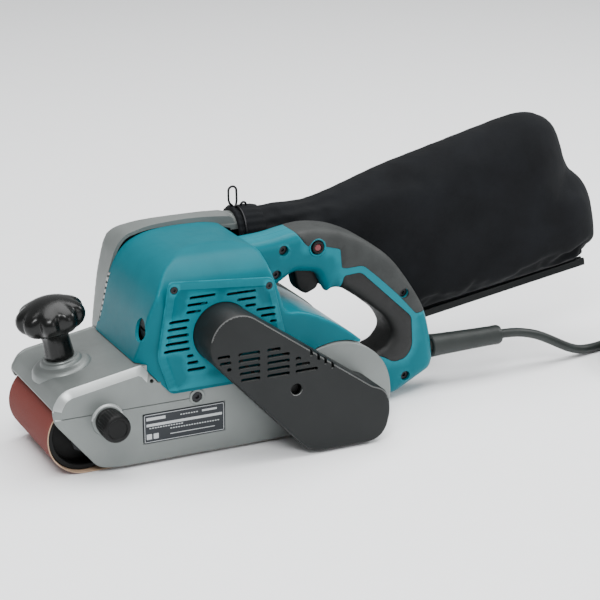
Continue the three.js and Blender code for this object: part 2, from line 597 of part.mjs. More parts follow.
function addDriveCover() {
  const outer = side(coverShape(0), 57.3, COVER_X, { curveSegments: 10 });
  const overPanel = side(shapeOf([
    [-60, 180], [-60, -40], [68.5, -40], [68.5, 96], [57.5, 146.6], [57.5, 180]]), 50, PANEL_X + GAP);
  const boss = rodX(BOSS_R, HOUSING_X + 0.6, 70, MOTOR.y, MOTOR.z, 24);
  const inside = side(coverShape(2.6), 50, COVER_X - 2.6, { curveSegments: 8 });
  const rearWall = side(shapeOf([
    [90.3, 56], [90.3, 180], [57, 180], [57, 56]]), 50, HOUSING_X + 0.4);
  const vents = slots([
    [-7, 4, 97.5], [-5, 5, 92], [1, 5, 86.5], [11, 30, 97.5], [11, 30, 92], [11, 30, 86.5], [12, 30, 81],
    [13, 30, 75.5], [36, 48, 97.5], [36, 56, 92], [36, 56, 86.5], [36, 56, 81], [36, 56, 75.5],
    [61, 66, 86.5],
    [61, 74, 81], [61, 81, 75.5]], 90, 100, 2.8);
  const screwHole = rodX(2.6, 80, 100, COVER_SCREW.y, COVER_SCREW.z, 12);
  const sink = rodX(5, 95, 100, COVER_SCREW.y, COVER_SCREW.z, 16);
  const ribs = [0, 1, 2, 3].map((i) => {
    const y = 74 + i * 6.4;
    return box(66, 91, y, y + 2.4, 0, 9).translate([0, 0, 82.4 - i * 4.3]);
  });
  const shell = cut(union(cut(outer, overPanel), boss), inside, rearWall, screwHole, sink, ...vents,
    ...ribs);
  part('drive_cover', shell, COLOUR.darkGrey, 0.55, 0);
  const screw = cut(turnedX([[0, -35.3], [2.2, -35.3], [2.2, -0.6], [4.6, -0.6], [4.6, 0.6], [0, 0.6]], 14),
    turnedX(rod(2, 0, 3), 6));
  part('cover_screw', screw, COLOUR.steel, 0.35, 1).position.set(COVER_X - 0.3, COVER_SCREW.y,
    COVER_SCREW.z);
}

// The outline of a belt on two pulleys: two arcs joined by the outer tangents.
function beltShape(grow) {
  const small = PINION_R + GAP + grow;
  const large = DRIVEN_R + GAP + grow;
  const across = new THREE.Vector2(AXLE_Y - MOTOR.y, AXLE_Z - MOTOR.z);
  const lean = Math.asin((large - small) / across.length());
  const heading = across.angle();
  const shape = new THREE.Shape();
  shape.absarc(MOTOR.y, MOTOR.z, small, heading + Math.PI / 2 + lean,
    heading - Math.PI / 2 - lean + 2 * Math.PI, false);
  shape.absarc(AXLE_Y, AXLE_Z, large, heading - Math.PI / 2 - lean, heading + Math.PI / 2 + lean, false);
  shape.closePath();
  return shape;
}

function addDriveBelt() {
  const outline = beltShape(DRIVE_BELT_T - GAP);
  outline.holes.push(beltShape(0));
  part('drive_belt', side(outline, 73, 87, { curveSegments: 8 }), COLOUR.black, 0.8, 0);
}

// ---- handle ----------------------------------------------------------------------------------
const HANDLE = [
  [72.3, 172], [97, 173, 10], [126, 170.5, 14], [140, 166.5, 10], [155, 158.5, 10], [165, 152, 8],
  [190, 133, 16],
  [212, 104.5, 16], [227, 81, 12], [233.3, 58, 12], [237, 30, 5], [233.5, 22, 3], [197, 4, 4], [176, 6, 5],
  [172, 24, 8], [170.8, 42, 10], [165, 57, 8], [167, 60, 2], [178, 62.5, 8], [185, 70, 8], [175, 83, 10],
  [161, 95.5, 8], [142.5, 111, 10], [133, 111.5, 3], [129, 108.5, 2], [126, 113, 3], [119, 128, 6],
  [97.5, 131.5, 8],
  [84, 124.5, 8], [86, 110, 4], [84, 108.8], [72.3, 113.6]];
const HANDLE_HOLLOW = [
  [79, 165], [97, 166.8, 8], [125, 164.3, 10], [138, 160.5, 8], [152, 153, 8], [186, 128, 12],
  [207.5, 101, 12],
  [221.5, 78.5, 10], [227, 56, 10], [230, 32, 4], [206, 17, 4], [196, 22, 4], [193, 60, 8], [191.5, 73, 8],
  [180, 88, 8], [166, 101, 8], [146, 118.5, 8], [134, 119, 3], [131, 122], [131, 136], [99, 137.5],
  [79, 137]];
const GRIP_TOP = [
  [88, 190], [88, 173.5], [105, 153.5, 3], [111, 143.5, 4], [125, 143.5, 4], [127, 149.5, 3],
  [139.5, 146.5, 2],
  [141, 129.5, 2], [146, 128.5, 2], [161.5, 129, 4], [176, 116.5, 6], [196, 97.5, 6], [213, 78.5, 2],
  [228, 78.5],
  [260, 78.5], [260, 190]];
const GRIP_INNER = [
  [143, 122.5, 3], [159.5, 123.5, 4], [209, 76.5, 4], [210.5, 48, 6], [204, 38.5, 5], [192, 36.5, 4],
  [183, 47, 4],
  [176, 57, 3], [164, 57], [164, 62], [150, 62], [130, 100], [136, 109], [141, 112]];
function handleSolid(x0, x1) {
  return side(shapeOf(HANDLE), x0, x1);
}

function handleShell(x0, x1) {
  const sign = Math.sign(x0 + x1);
  const full = handleSolid(Math.min(x0, x1), Math.max(x0, x1));
  const hollow = side(shapeOf(HANDLE_HOLLOW), Math.min(0, sign * 13), Math.max(0, sign * 13));
  const skinDepth = HANDLE_HALF - GRIP_SKIN;
  const skin = [GRIP_TOP, GRIP_INNER].map((zone) => {
    const zoneSolid = side(shapeOf(zone), -30, 30);
    const keep = coreOfHandle(skinDepth);
    return zoneSolid.subtract(keep);
  });
  const triggerSlot = box(-8.7, 8.7, 99.5, 131, 104, 140);
  const cordHole = rodY(6.6, 205, 250, 0, CORD_Z, 20);
  const guardSeat = rodY(11.2, 227, 231.5, 0, CORD_Z, 20);
  const holes = HANDLE_SCREWS.map(([y, z]) => union(
    rodX(2.3, -11, 14, y, z, 10), rodX(4.4, 12.2, 30, y, z, 14)));
  const lockBore = rodX(6.4, 5, 30, LOCK.y, LOCK.z, 16);
  return cut(full, hollow, ...skin, triggerSlot, cordHole, guardSeat, ...holes, lockBore);
}

// The handle without its soft skin: thinner across, and set back along its edge.
function coreOfHandle(half) {
  const inset = [
    [60, 168.5], [97, 169.7, 10], [125.3, 167.2, 14], [138.5, 163.5, 10], [153, 155.5, 10], [163, 149.2, 8],
    [187.6, 130.6, 16], [209.2, 102.5, 16], [223.7, 79.5, 12], [230, 57.5, 12], [233.5, 30, 5],
    [231, 24.5, 3],
    [198, 8, 4], [172, 8], [173, 44, 8], [172, 57], [181, 59, 4], [188.7, 70.5, 8], [177.6, 85, 10],
    [163.4, 98, 8], [143.5, 115, 8], [60, 115]];
  return side(shapeOf(inset), -half, half);
}

function addHandle() {
  part('handle_left_shell', handleShell(0.15, HANDLE_HALF), COLOUR.teal, 0.35, 0);
  part('handle_right_shell', handleShell(-HANDLE_HALF, -0.15), COLOUR.teal, 0.35, 0);
  const body = handleSolid(-HANDLE_HALF, HANDLE_HALF);
  const core = coreOfHandle(HANDLE_HALF - GRIP_SKIN + GAP);
  const lockBore = rodX(6.4, 5, 30, LOCK.y, LOCK.z, 16);
  const zones = { grip_top: GRIP_TOP, grip_inner: GRIP_INNER };
  for (const [name, zone] of Object.entries(zones)) {
    const colour = name === 'grip_top' ? COLOUR.gripGrey : COLOUR.gripDark;
    const patch = side(shapeOf(zone), -30, 30).intersect(body).subtract(core);
    const screws = HANDLE_SCREWS.map(([y, z]) => rodX(4.4, -30, 30, y, z, 14));
    part(name, cut(patch, lockBore, ...screws), colour, 0.8, 0);
  }
  HANDLE_SCREWS.forEach(([y, z], i) => {
    const screw = cut(turnedX([[0, -10], [2, -10], [2, 12.5], [4, 12.5], [4, 15.2], [0, 15.2]], 12),
      turnedX(rod(1.8, 13.6, 18), 6));
    part(`handle_screw_${i + 1}`, screw, COLOUR.black, 0.4, 0.8).position.set(0, y, z);
  });
}

function addSwitch() {
  part('switch_body', box(-9, 9, 104, 138, 141, 156.5), COLOUR.black, 0.5, 0);
  const trigger = side(shapeOf([
    [101, 136], [101, 129, 3], [104, 115, 5], [107, 110.5, 3], [113, 107.3, 2], [122.5, 111, 3],
    [125.5, 117, 4],
    [123, 136]]), -8.2, 8.2);
  part('trigger', trigger, COLOUR.black, 0.5, 0);
  const button = turnedX([[0, 12.6], [5.4, 12.6], [5.4, 19.6], [4.6, 20.6], [0, 20.6]], 16);
  part('lock_button', button, COLOUR.red, 0.5, 0).position.set(0, LOCK.y, LOCK.z);
}

// ---- mains lead --------------------------------------------------------------------------------
const CORD_ROUTE = [
  [0, GUARD_END_Y + GAP, CORD_Z], [0, 322, 38.2], [0, 335, 36.2], [-0.6, 349, 31.9], [-1.8, 362, 25.8],
  [-3.4, 375, 18.8], [-5.4, 388, 12], [-8, 401, 7], [-11, 414, 4.9], [-13.6, 426, 4.4], [-16.1, 434.5, 4.3],
  [-17.9, 441.5, 4.3]];

function addCord() {
  const guard = union(
    turnedY([[CORD_R + 0.4, 227.4], [10.9, 227.4], [10.9, 230.9], [6.3, 230.9], [6.3, 234],
      [CORD_R + 0.4, 234],
      [CORD_R + 0.4, 227.4]], 14),
    turnedY([[CORD_R + 0.4, 233], [6.3, 233], [6.3, 237.6], [10.2, 237.6], [9, 290], [8.3, 307],
      [7.2, GUARD_END_Y], [CORD_R + 0.4, GUARD_END_Y], [CORD_R + 0.4, 233]], 14));
  const mesh = part('cord_guard', guard, COLOUR.black, 0.8, 0);
  mesh.position.set(0, 0, CORD_Z);
  const curve = new THREE.CatmullRomCurve3(CORD_ROUTE.map((p) => new THREE.Vector3(...p)));
  const section = new THREE.Shape().absarc(0, 0, CORD_R, 0, 2 * Math.PI, false);
  const tube = new THREE.ExtrudeGeometry(section, {
    steps: 16, curveSegments: 5, bevelEnabled: false, extrudePath: curve });
  part('power_cord', solid(tube), COLOUR.black, 0.6, 0);
  const coil = part('cord_coil', turnedZ(ring(COIL.r - COIL.band, COIL.r + COIL.band, 0, COIL.height), 28),
    COLOUR.black, 0.6, 0);
  coil.position.set(COIL.x, COIL.y, 0);
  addPlug();
}

function addPlug() {
  const plug = new THREE.Group();
  plug.position.set(PLUG_X, COIL.y + COIL.r, COIL.height + GAP + 9);
  sander.add(plug);
  const body = front(shapeOf([[-14, -9, 5], [-14, 9, 5], [14, 9, 5], [14, -9, 5]]), -18, 18)
    .rotate([0, 0, -90]);
  const grip = turnedX([[0, -28], [5.6, -28], [8, -17], [0, -17]], 16);
  const pins = [-9.5, 9.5].map((y) => rodX(2.4, 17, 37, y, 0, 10));
  part('mains_plug', union(body, grip, ...pins), COLOUR.black, 0.5, 0, plug);
}

// ---- dust bag -----------------------------------------------------------------------------------
const BAG_SIDE = [
  [96, 168, 8], [104, 172, 8], [139, 174, 10], [170, 179, 16], [219, 194, 20], [351, 226, 16],
  [366, 227, 14],
  [389, 218, 12], [417, 174, 16], [438, 151, 14], [443, 135, 10], [443, 98, 14], [430, 79.5, 8],
  [238, 49, 8],
  [112, 134, 16], [96, 134, 6]];
const BAR_START = [236, 39.8];
const BAR_END = [436, 71.5];

function addDustBag() {
  const layers = [[1, 14], [0.86, BAG.half]].map(([scale, half]) => side(
    shapeOf(BAG_SIDE.map(([y, z, r = 0]) => [
      BAG.y + (y - BAG.y) * scale, BAG.z + (z - BAG.z) * scale, r])),
    BAG.x - half, BAG.x + half, { curveSegments: 1 }));
  const neck = rodY(NOZZLE.r + 2.6, 72.6, 125, NOZZLE.x, NOZZLE.z, 24);
  const bore = rodY(NOZZLE.r + 0.4, 60, 86, NOZZLE.x, NOZZLE.z, 24);
  const hem = side(shapeOf([
    [BAR_START[0] + 6, BAR_START[1] + 3.6], [BAR_END[0] - 8, BAR_END[1] + 1.4],
    [BAR_END[0] - 8, BAR_END[1] + 14],
    [BAR_START[0] + 6, BAR_START[1] + 16]]), BAG.x - 1, BAG.x + 1);
  part('dust_bag', cut(union(...layers, neck, hem), bore), COLOUR.fabric, 0.9, 0);
  addBagFastener();
  addBagClamp();
}

function addBagFastener() {
  const along = new THREE.Vector2(BAR_END[0] - BAR_START[0], BAR_END[1] - BAR_START[1]);
  const section = shapeOf([
    [-3.6, 0, 1], [3.6, 0, 1], [3.6, 7], [1.4, 7], [1.4, 2.2], [-1.4, 2.2], [-1.4, 7], [-3.6, 7]]);
  const channel = front(section, 0, along.length());
  const mesh = part('bag_fastener', channel, COLOUR.plate, 0.5, 0);
  mesh.position.set(BAG.x, BAR_START[0], BAR_START[1] - 0.9);
  mesh.rotation.x = along.angle();
}

function addBagClamp() {
  const wire = 1;
  const r = NOZZLE.r + 2.6 + GAP + wire;
  const loopHalf = 3.4;
  const coil = turnedY([0, 1, 2, 3, 4, 5, 6].map((i) => {
    const angle = (i * Math.PI) / 3;
    return [r + wire * Math.cos(angle), wire * Math.sin(angle)];
  }), 20);
  const stations = [[-loopHalf, r - 0.2], [-loopHalf, r + 9], [-loopHalf, r + 14], [0, r + 17.6],
    [loopHalf, r + 14], [loopHalf, r + 9], [0.4, r - 0.2]];
  const path = new THREE.CatmullRomCurve3(
    stations.map(([y, z]) => new THREE.Vector3(0, y, z)));
  const section = new THREE.Shape().absarc(0, 0, wire, 0, 2 * Math.PI, false);
  const loop = new THREE.ExtrudeGeometry(section, {
    steps: 14, curveSegments: 3, bevelEnabled: false, extrudePath: path });
  const clamp = union(coil, solid(loop));
  part('bag_clamp', clamp, COLOUR.steel, 0.35, 1).position.set(NOZZLE.x, 77, NOZZLE.z);
}

addFrame();
addFrameScrew();
addBelt();
addPlatens();
addRearRoller();
addFrontRoller();
addRollerCarrier();
addTensionLever();
addFrontKnob();
addTrackingKnob();
addMotorHousing();
addVentCover();
addStator();
addBrushes();
addFanHousing();
addBearingPlate();
addDriveCover();
addDriveBelt();
addHandle();
addSwitch();
addCord();
addDustBag();

export default sander;
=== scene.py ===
"""Blender looks of a handheld belt sander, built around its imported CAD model.

Pieces are drawn in millimetres, and their meshes are made in metres. The camera, the lights, the floor
and the materials are in metres."""

import math

import bmesh
import bpy
import numpy as np
from mathutils import Matrix, Vector
from mathutils.geometry import delaunay_2d_cdt


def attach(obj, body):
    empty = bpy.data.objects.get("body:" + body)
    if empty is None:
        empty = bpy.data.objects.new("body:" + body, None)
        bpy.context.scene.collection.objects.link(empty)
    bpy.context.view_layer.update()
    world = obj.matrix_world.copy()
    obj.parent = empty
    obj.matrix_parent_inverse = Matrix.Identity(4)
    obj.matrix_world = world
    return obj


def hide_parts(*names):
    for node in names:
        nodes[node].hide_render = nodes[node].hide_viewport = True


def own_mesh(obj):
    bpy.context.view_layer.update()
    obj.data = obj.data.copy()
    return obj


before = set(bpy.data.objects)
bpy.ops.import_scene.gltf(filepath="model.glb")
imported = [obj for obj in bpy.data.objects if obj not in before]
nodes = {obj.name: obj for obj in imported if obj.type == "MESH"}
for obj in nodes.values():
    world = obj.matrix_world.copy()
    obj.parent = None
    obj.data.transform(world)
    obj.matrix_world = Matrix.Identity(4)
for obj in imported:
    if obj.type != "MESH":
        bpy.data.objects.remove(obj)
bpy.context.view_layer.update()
scene = bpy.context.scene
MM = 0.001
WEAVE_PITCH = 0.9
TAU = 2 * math.pi

# ---- camera, light and floor ----
AZIMUTH, ELEVATION = math.radians(64.52), math.radians(18.68)
back = Vector((
    math.sin(AZIMUTH) * math.cos(ELEVATION), -math.cos(AZIMUTH) * math.cos(ELEVATION),
    math.sin(ELEVATION)))
camera = bpy.data.objects.new("camera", bpy.data.cameras.new("camera"))
scene.collection.objects.link(camera)
camera.location = (1.45634, -0.58337, 0.64534)
camera.rotation_euler = (-back).to_track_quat("-Z", "Y").to_euler()
camera.data.lens = 120
camera.data.sensor_width = 36
scene.camera = camera


def area_light(name, place, aim, size, power):
    data = bpy.data.lights.new(name, "AREA")
    data.size = size
    data.energy = power
    light = bpy.data.objects.new(name, data)
    light.location = place
    light.rotation_euler = (Vector(aim) - Vector(place)).to_track_quat("-Z", "Y").to_euler()
    scene.collection.objects.link(light)


area_light("key", (1.5, -0.9, 1.9), (0, 0, 0.08), 0.7, 40)
area_light("top", (-0.1, 0.3, 2.2), (0, 0.1, 0.05), 2.4, 95)
area_light("side", (2.2, 0.9, 0.9), (0, 0.1, 0.08), 1.0, 12)
area_light("rim", (0.3, 2.0, 1.35), (0.05, 0.1, 0.08), 0.7, 26)

world = bpy.data.worlds.new("studio")
scene.world = world
world.use_nodes = True
world.node_tree.nodes["Background"].inputs["Color"].default_value = (0.94, 0.95, 0.96, 1)
world.node_tree.nodes["Background"].inputs["Strength"].default_value = 0.5


# ---- procedural materials ----
class Nodes:
    """One material's node tree, built a node at a time."""

    def __init__(self, name):
        self.material = bpy.data.materials.new(name)
        self.material.use_nodes = True
        self.tree = self.material.node_tree
        self.shader = self.tree.nodes["Principled BSDF"]
        self.place = self.add("ShaderNodeTexCoord").outputs["Object"]

    def add(self, kind, **settings):
        node = self.tree.nodes.new(kind)
        for key, value in settings.items():
            setattr(node, key, value)
        return node

    def link(self, output, target):
        self.tree.links.new(output, target)

    def assign(self, value, target):
        """Links a node's output to a socket, or sets the socket to a colour or a number."""
        if isinstance(value, bpy.types.NodeSocket):
            self.link(value, target)
        elif isinstance(value, tuple):
            target.default_value = (*value, 1)
        else:
            target.default_value = value

    def stretched(self, scale):
        mapping = self.add("ShaderNodeMapping")
        mapping.inputs["Scale"].default_value = scale
        self.link(self.place, mapping.inputs["Vector"])
        return mapping.outputs["Vector"]

    def noise(self, scale, detail=2.0, vector=None, rough=0.5):
        node = self.add("ShaderNodeTexNoise")
        node.inputs["Scale"].default_value = scale
        node.inputs["Detail"].default_value = detail
        node.inputs["Roughness"].default_value = rough
        self.link(vector or self.place, node.inputs["Vector"])
        return node.outputs["Fac"]

    def ramp(self, value, low, high, first, last):
        node = self.add("ShaderNodeValToRGB")
        node.color_ramp.elements[0].position = low
        node.color_ramp.elements[1].position = high
        node.color_ramp.elements[0].color = (*first, 1)
        node.color_ramp.elements[1].color = (*last, 1)
        self.link(value, node.inputs["Fac"])
        return node.outputs["Color"]

    def between(self, value, low, high):
        node = self.add("ShaderNodeMapRange")
        node.inputs["To Min"].default_value = low
        node.inputs["To Max"].default_value = high
        self.link(value, node.inputs["Value"])
        return node.outputs["Result"]

    def mix(self, factor, first, second):
        node = self.add("ShaderNodeMix", data_type="RGBA")
        for target, value in zip((node.inputs["Factor"], *node.inputs[6:8]), (factor, first, second)):
            self.assign(value, target)
        return node.outputs[2]

    def bump(self, height, strength, distance, under=None):
        node = self.add("ShaderNodeBump")
        node.inputs["Strength"].default_value = strength
        node.inputs["Distance"].default_value = distance
        self.link(height, node.inputs["Height"])
        if under is not None:
            self.link(under, node.inputs["Normal"])
        return node.outputs["Normal"]

    def finish(self, colour, rough, normal, **constants):
        self.assign(colour, self.shader.inputs["Base Color"])
        self.assign(rough, self.shader.inputs["Roughness"])
        self.link(normal, self.shader.inputs["Normal"])
        for key, value in constants.items():
            self.shader.inputs[key.replace("_", " ")].default_value = value
        return self.material


def scaled(colour, factor):
    return tuple(min(1.0, c * factor) for c in colour)


def moulded(name, colour, rough, spread=0.12, grain=900, depth=0.25, wear_and_edge_highlight=None, **constants):
    """Moulded plastic or paint: slow shade changes, fine grain and, where given, a painted highlight on
    convex edges.
    """
    made = Nodes(name)
    shade = made.ramp(made.noise(38, 3), 0.3, 0.7, scaled(colour, 1 - spread), scaled(colour, 1 + spread))
    if wear_and_edge_highlight is not None:
        # Convex edges, found by pointiness, take the given colour: a painted highlight.
        edge = made.add("ShaderNodeNewGeometry").outputs["Pointiness"]
        mask = made.ramp(edge, 0.515, 0.56, (0, 0, 0), (1, 1, 1))
        shade = made.mix(mask, shade, wear_and_edge_highlight)
    gloss = made.between(made.noise(160, 2), rough - 0.06, rough + 0.06)
    normal = made.bump(made.noise(grain, 2), depth, 0.00012)
    return made.finish(shade, gloss, normal, **constants)


def brushed(name, colour, rough):
    """Turned or drawn metal with fine lines along one axis."""
    made = Nodes(name)
    lines = made.noise(1.0, 3, made.stretched((40, 2200, 2200)))
    shade = made.ramp(lines, 0.25, 0.75, scaled(colour, 0.82), scaled(colour, 1.12))
    gloss = made.between(made.noise(220, 2), rough - 0.07, rough + 0.09)
    return made.finish(shade, gloss, made.bump(lines, 0.25, 0.00008), Metallic=1.0)


def rubber(name, colour, rough=0.72, grain=1400, depth=0.5):
    """Soft rubber with a fine leathery grain."""
    made = Nodes(name)
    cells = made.add("ShaderNodeTexVoronoi")
    cells.inputs["Scale"].default_value = grain
    made.link(made.place, cells.inputs["Vector"])
    shade = made.ramp(made.noise(60, 4), 0.3, 0.72, scaled(colour, 0.82), scaled(colour, 1.2))
    gloss = made.between(made.noise(300, 2), rough - 0.1, rough + 0.08)
    normal = made.bump(cells.outputs["Distance"], depth, 0.00015)
    return made.finish(shade, gloss, normal, Specular_IOR_Level=0.3)


def abrasive(name, dark, light):
    """Coated abrasive: closely set grains on a red-brown ground."""
    made = Nodes(name)
    grains = made.noise(2600, 3, rough=0.7)
    wear_and_edge_highlight = made.noise(30, 4)
    shade = made.ramp(grains, 0.3, 0.75, dark, light)
    shade = made.mix(made.between(wear_and_edge_highlight, 0.0, 0.35), shade, scaled(light, 1.15))
    return made.finish(shade, 0.86, made.bump(grains, 0.8, 0.0003))


def woven(name, colour):
    """Plain weave: two crossed sets of ridges on a blotchy ground, with broad creases."""
    made = Nodes(name)
    turns = TAU / (WEAVE_PITCH * MM) / 20
    waves = []
    for direction in ("Y", "Z"):
        wave = made.add("ShaderNodeTexWave", wave_type="BANDS", wave_profile="SIN")
        wave.bands_direction = direction
        wave.inputs["Scale"].default_value = turns
        wave.inputs["Distortion"].default_value = 0.6
        wave.inputs["Detail Scale"].default_value = 4.0
        made.link(made.place, wave.inputs["Vector"])
        waves.append(wave.outputs["Fac"])
    cross = made.add("ShaderNodeMath", operation="MULTIPLY")
    made.link(waves[0], cross.inputs[0])
    made.link(waves[1], cross.inputs[1])
    ground = made.ramp(made.noise(26, 4), 0.3, 0.72, scaled(colour, 0.72), scaled(colour, 1.45))
    shade = made.mix(made.between(cross.outputs[0], 0.0, 0.4), ground, scaled(colour, 1.7))
    crease = made.bump(made.noise(55, 4, rough=0.6), 0.35, 0.0016)
    normal = made.bump(cross.outputs[0], 0.35, 0.0002, crease)
    return made.finish(shade, 0.82, normal, Sheen_Weight=0.02, Sheen_Roughness=0.5, Specular_IOR_Level=0.1)


LOOK = {
    # The teal's lighter colour on convex edges is a painted highlight.
    "teal": moulded(
        "teal_plastic", (0.0, 0.1, 0.128), 0.34, 0.06, wear_and_edge_highlight=(0.005, 0.15, 0.19), Specular_IOR_Level=0.1),
    "silver": moulded("silver_paint", (0.16, 0.175, 0.17), 0.4, 0.06, 1500, 0.35, Metallic=0.4),
    # A paler copy of the silver paint: a painted highlight for the wall's upward-facing band and the fan's
    # fins.
    "silver_painted_highlight": moulded("silver_paint_highlight", (0.38, 0.4, 0.395), 0.34, 0.06, 1500, 0.3, Metallic=0.4),
    "gloss": moulded(
        "black_gloss", (0.0025, 0.0028, 0.0026), 0.26, 0.1, 600, 0.08, Specular_IOR_Level=0.28),
    "dark": moulded(
        "dark_plastic", (0.0095, 0.0108, 0.011), 0.42, 0.1, 1100, 0.35, Specular_IOR_Level=0.18),
    # A paler copy of the dark plastic: a painted highlight along the drive cover's rolled upper edge.
    "dark_painted_highlight": moulded(
        "dark_plastic_highlight", (0.075, 0.078, 0.076), 0.35, 0.1, 1100, 0.1, Specular_IOR_Level=0.5),
    "black": moulded(
        "black_plastic", (0.0038, 0.004, 0.004), 0.46, 0.15, 1100, 0.4, Specular_IOR_Level=0.17),
    "grip": rubber("grip_rubber", (0.024, 0.0265, 0.026), 0.62),
    "grip_dark": rubber("grip_dark", (0.0065, 0.0068, 0.0068), 0.56),
    "roller": rubber("roller_rubber", (0.006, 0.006, 0.006), 0.75),
    "cord": rubber("cord_rubber", (0.014, 0.0175, 0.0165), 0.48, 2600, 0.15),
    "belt": abrasive("abrasive_cloth", (0.06, 0.007, 0.0045), (0.17, 0.022, 0.013)),
    "backing": rubber("belt_backing", (0.36, 0.25, 0.17), 0.85, 2000, 0.4),
    "steel": brushed("turned_steel", (0.5, 0.51, 0.52), 0.32),
    "dark_steel": brushed("blackened_steel", (0.028, 0.028, 0.03), 0.36),
    "copper": brushed("copper_bars", (0.5, 0.2, 0.09), 0.34),
    "cloth": woven("bag_cloth", (0.0044, 0.005, 0.006)),
    "plate": moulded("name_plate_foil", (0.013, 0.016, 0.02), 0.4, 0.08, 2000, 0.1, Metallic=0.4),
    "print": moulded("plate_print", (0.42, 0.44, 0.45), 0.45, 0.06, 2000, 0.1),
    "cork": rubber("cork", (0.36, 0.22, 0.1), 0.9, 700, 0.8),
    "red": moulded("red_plastic", (0.14, 0.014, 0.019), 0.4, 0.1, 900, 0.1),
    "floor": moulded("floor", (0.93, 0.94, 0.95), 0.6, 0.004, 300, 0.02),
}


def paint(obj, *looks):
    """Gives an object its looks; where there are several, each face keeps the number of its own."""
    faces = obj.data.polygons if obj.type == "MESH" else []
    zones = [face.material_index for face in faces]
    obj.data.materials.clear()
    for look in looks:
        obj.data.materials.append(LOOK[look])
    if len(looks) > 1:
        faces.foreach_set("material_index", zones)
    return obj


# ---- outlines and meshes ----
def rounded(corners, steps=6):
    """An outline of (u, v) or (u, v, radius) corners as a list of points, with its corners rounded."""
    points = []
    for i, corner in enumerate(corners):
        here = Vector(corner[:2])
        radius = corner[2] if len(corner) > 2 else 0
        before = Vector(corners[i - 1][:2]) - here
        after = Vector(corners[(i + 1) % len(corners)][:2]) - here
        reach = min(radius, before.length * 0.48, after.length * 0.48)
        if reach <= 0:
            points.append((here.x, here.y))
            continue
        start = here + before.normalized() * reach
        end = here + after.normalized() * reach
        for k in range(steps + 1):
            t = k / steps
            p = start * (1 - t) ** 2 + here * 2 * t * (1 - t) + end * t * t
            points.append((p.x, p.y))
    return points


def slot_outline(y0, y1, z, height):
    """A long vent slot with round ends."""
    h = height / 2
    turns = np.linspace(-math.pi / 2, math.pi / 2, 7)
    ends = [(y1 - h + h * math.cos(a), z + h * math.sin(a)) for a in turns]
    starts = [(y0 + h - h * math.cos(a), z - h * math.sin(a)) for a in turns]
    return ends + starts


def circle(centre, r, steps):
    turns = [TAU * k / steps for k in range(steps)]
    return [(centre[0] + r * math.cos(a), centre[1] + r * math.sin(a)) for a in turns]


PLACED = {
    "X": lambda u, v, w: (w * MM, u * MM, v * MM),
    "Y": lambda u, v, w: (u * MM, w * MM, v * MM),
    "Z": lambda u, v, w: (u * MM, v * MM, w * MM),
}


def obj_of(name, verts, faces):
    """An object from vertices in metres and faces, with its faces pointing out."""
    mesh = bpy.data.meshes.new(name)
    mesh.from_pydata(verts, [], faces)
    tidy = bmesh.new()
    tidy.from_mesh(mesh)
    bmesh.ops.recalc_face_normals(tidy, faces=tidy.faces)
    tidy.to_mesh(mesh)
    tidy.free()
    obj = bpy.data.objects.new(name, mesh)
    scene.collection.objects.link(obj)
    return obj


def prism(corners, axis, low, high, steps=6, name="prism"):
    """An outline given depth along an axis: (Y, Z) for X, (X, Z) for Y and (X, Y) for Z."""
    points = rounded(corners, steps)
    count = len(points)
    verts = [PLACED[axis](u, v, w) for w in (low, high) for u, v in points]
    faces = [tuple(range(count)), tuple(range(count, 2 * count))]
    faces += [(i, (i + 1) % count, count + (i + 1) % count, count + i) for i in range(count)]
    return obj_of(name, verts, faces)


def block(x0, x1, y0, y1, z0, z1):
    return prism([(y0, z0), (y1, z0), (y1, z1), (y0, z1)], "X", x0, x1)


def turned(profile, axis, centre=(0, 0), segments=48, shape=None, name="turned"):
    """A round piece from (radius, height) pairs along an axis; shape(angle, radius) scales the radius."""
    verts, faces = [], []
    for r, h in profile:
        for k in range(segments):
            angle = TAU * k / segments
            reach = r * (shape(angle, r) if shape else 1)
            u, v = centre[0] + reach * math.cos(angle), centre[1] + reach * math.sin(angle)
            verts.append(PLACED[axis](u, v, h))
    closed = profile[0] == profile[-1]
    for a in range(0, (len(profile) - 1) * segments, segments):
        for k in range(segments):
            n = (k + 1) % segments
            faces.append((a + k, a + n, a + segments + n, a + segments + k))
    obj = obj_of(name, verts, faces)
    mesh = bmesh.new()
    mesh.from_mesh(obj.data)
    bmesh.ops.remove_doubles(mesh, verts=mesh.verts, dist=1e-6)
    if not closed:
        bmesh.ops.holes_fill(mesh, edges=[e for e in mesh.edges if e.is_boundary])
    bmesh.ops.recalc_face_normals(mesh, faces=mesh.faces)
    mesh.to_mesh(obj.data)
    mesh.free()
    return obj


def rod(axis, r, low, high, u, v, segments=32):
    """A cylinder along an axis from low to high, centred on (u, v)."""
    return turned([(0, low), (r, low), (r, high), (0, high)], axis, (u, v), segments)


def joined(name, pieces):
    """One object with the meshes of several, which are then removed."""
    mesh = bmesh.new()
    for piece in pieces:
        mesh.from_mesh(piece.data)
    data = bpy.data.meshes.new(name)
    mesh.to_mesh(data)
    mesh.free()
    for piece in pieces:
        bpy.data.objects.remove(piece)
    obj = bpy.data.objects.new(name, data)
    scene.collection.objects.link(obj)
    return obj


def settle(obj):
    """Turns an object's modifiers into its mesh."""
    graph = bpy.context.evaluated_depsgraph_get()
    data = bpy.data.meshes.new_from_object(obj.evaluated_get(graph), depsgraph=graph)
    obj.modifiers.clear()
    obj.data = data
    data.name = obj.name
    return obj


def boolean(obj, cutters, operation="DIFFERENCE"):
    """Cuts an object by others, or crosses it with them, and then removes them."""
    for cutter in cutters:
        change = obj.modifiers.new("boolean", "BOOLEAN")
        change.operation = operation
        change.solver = "EXACT"
        change.object = cutter
    settle(obj)
    for cutter in cutters:
        bpy.data.objects.remove(cutter)
    return obj


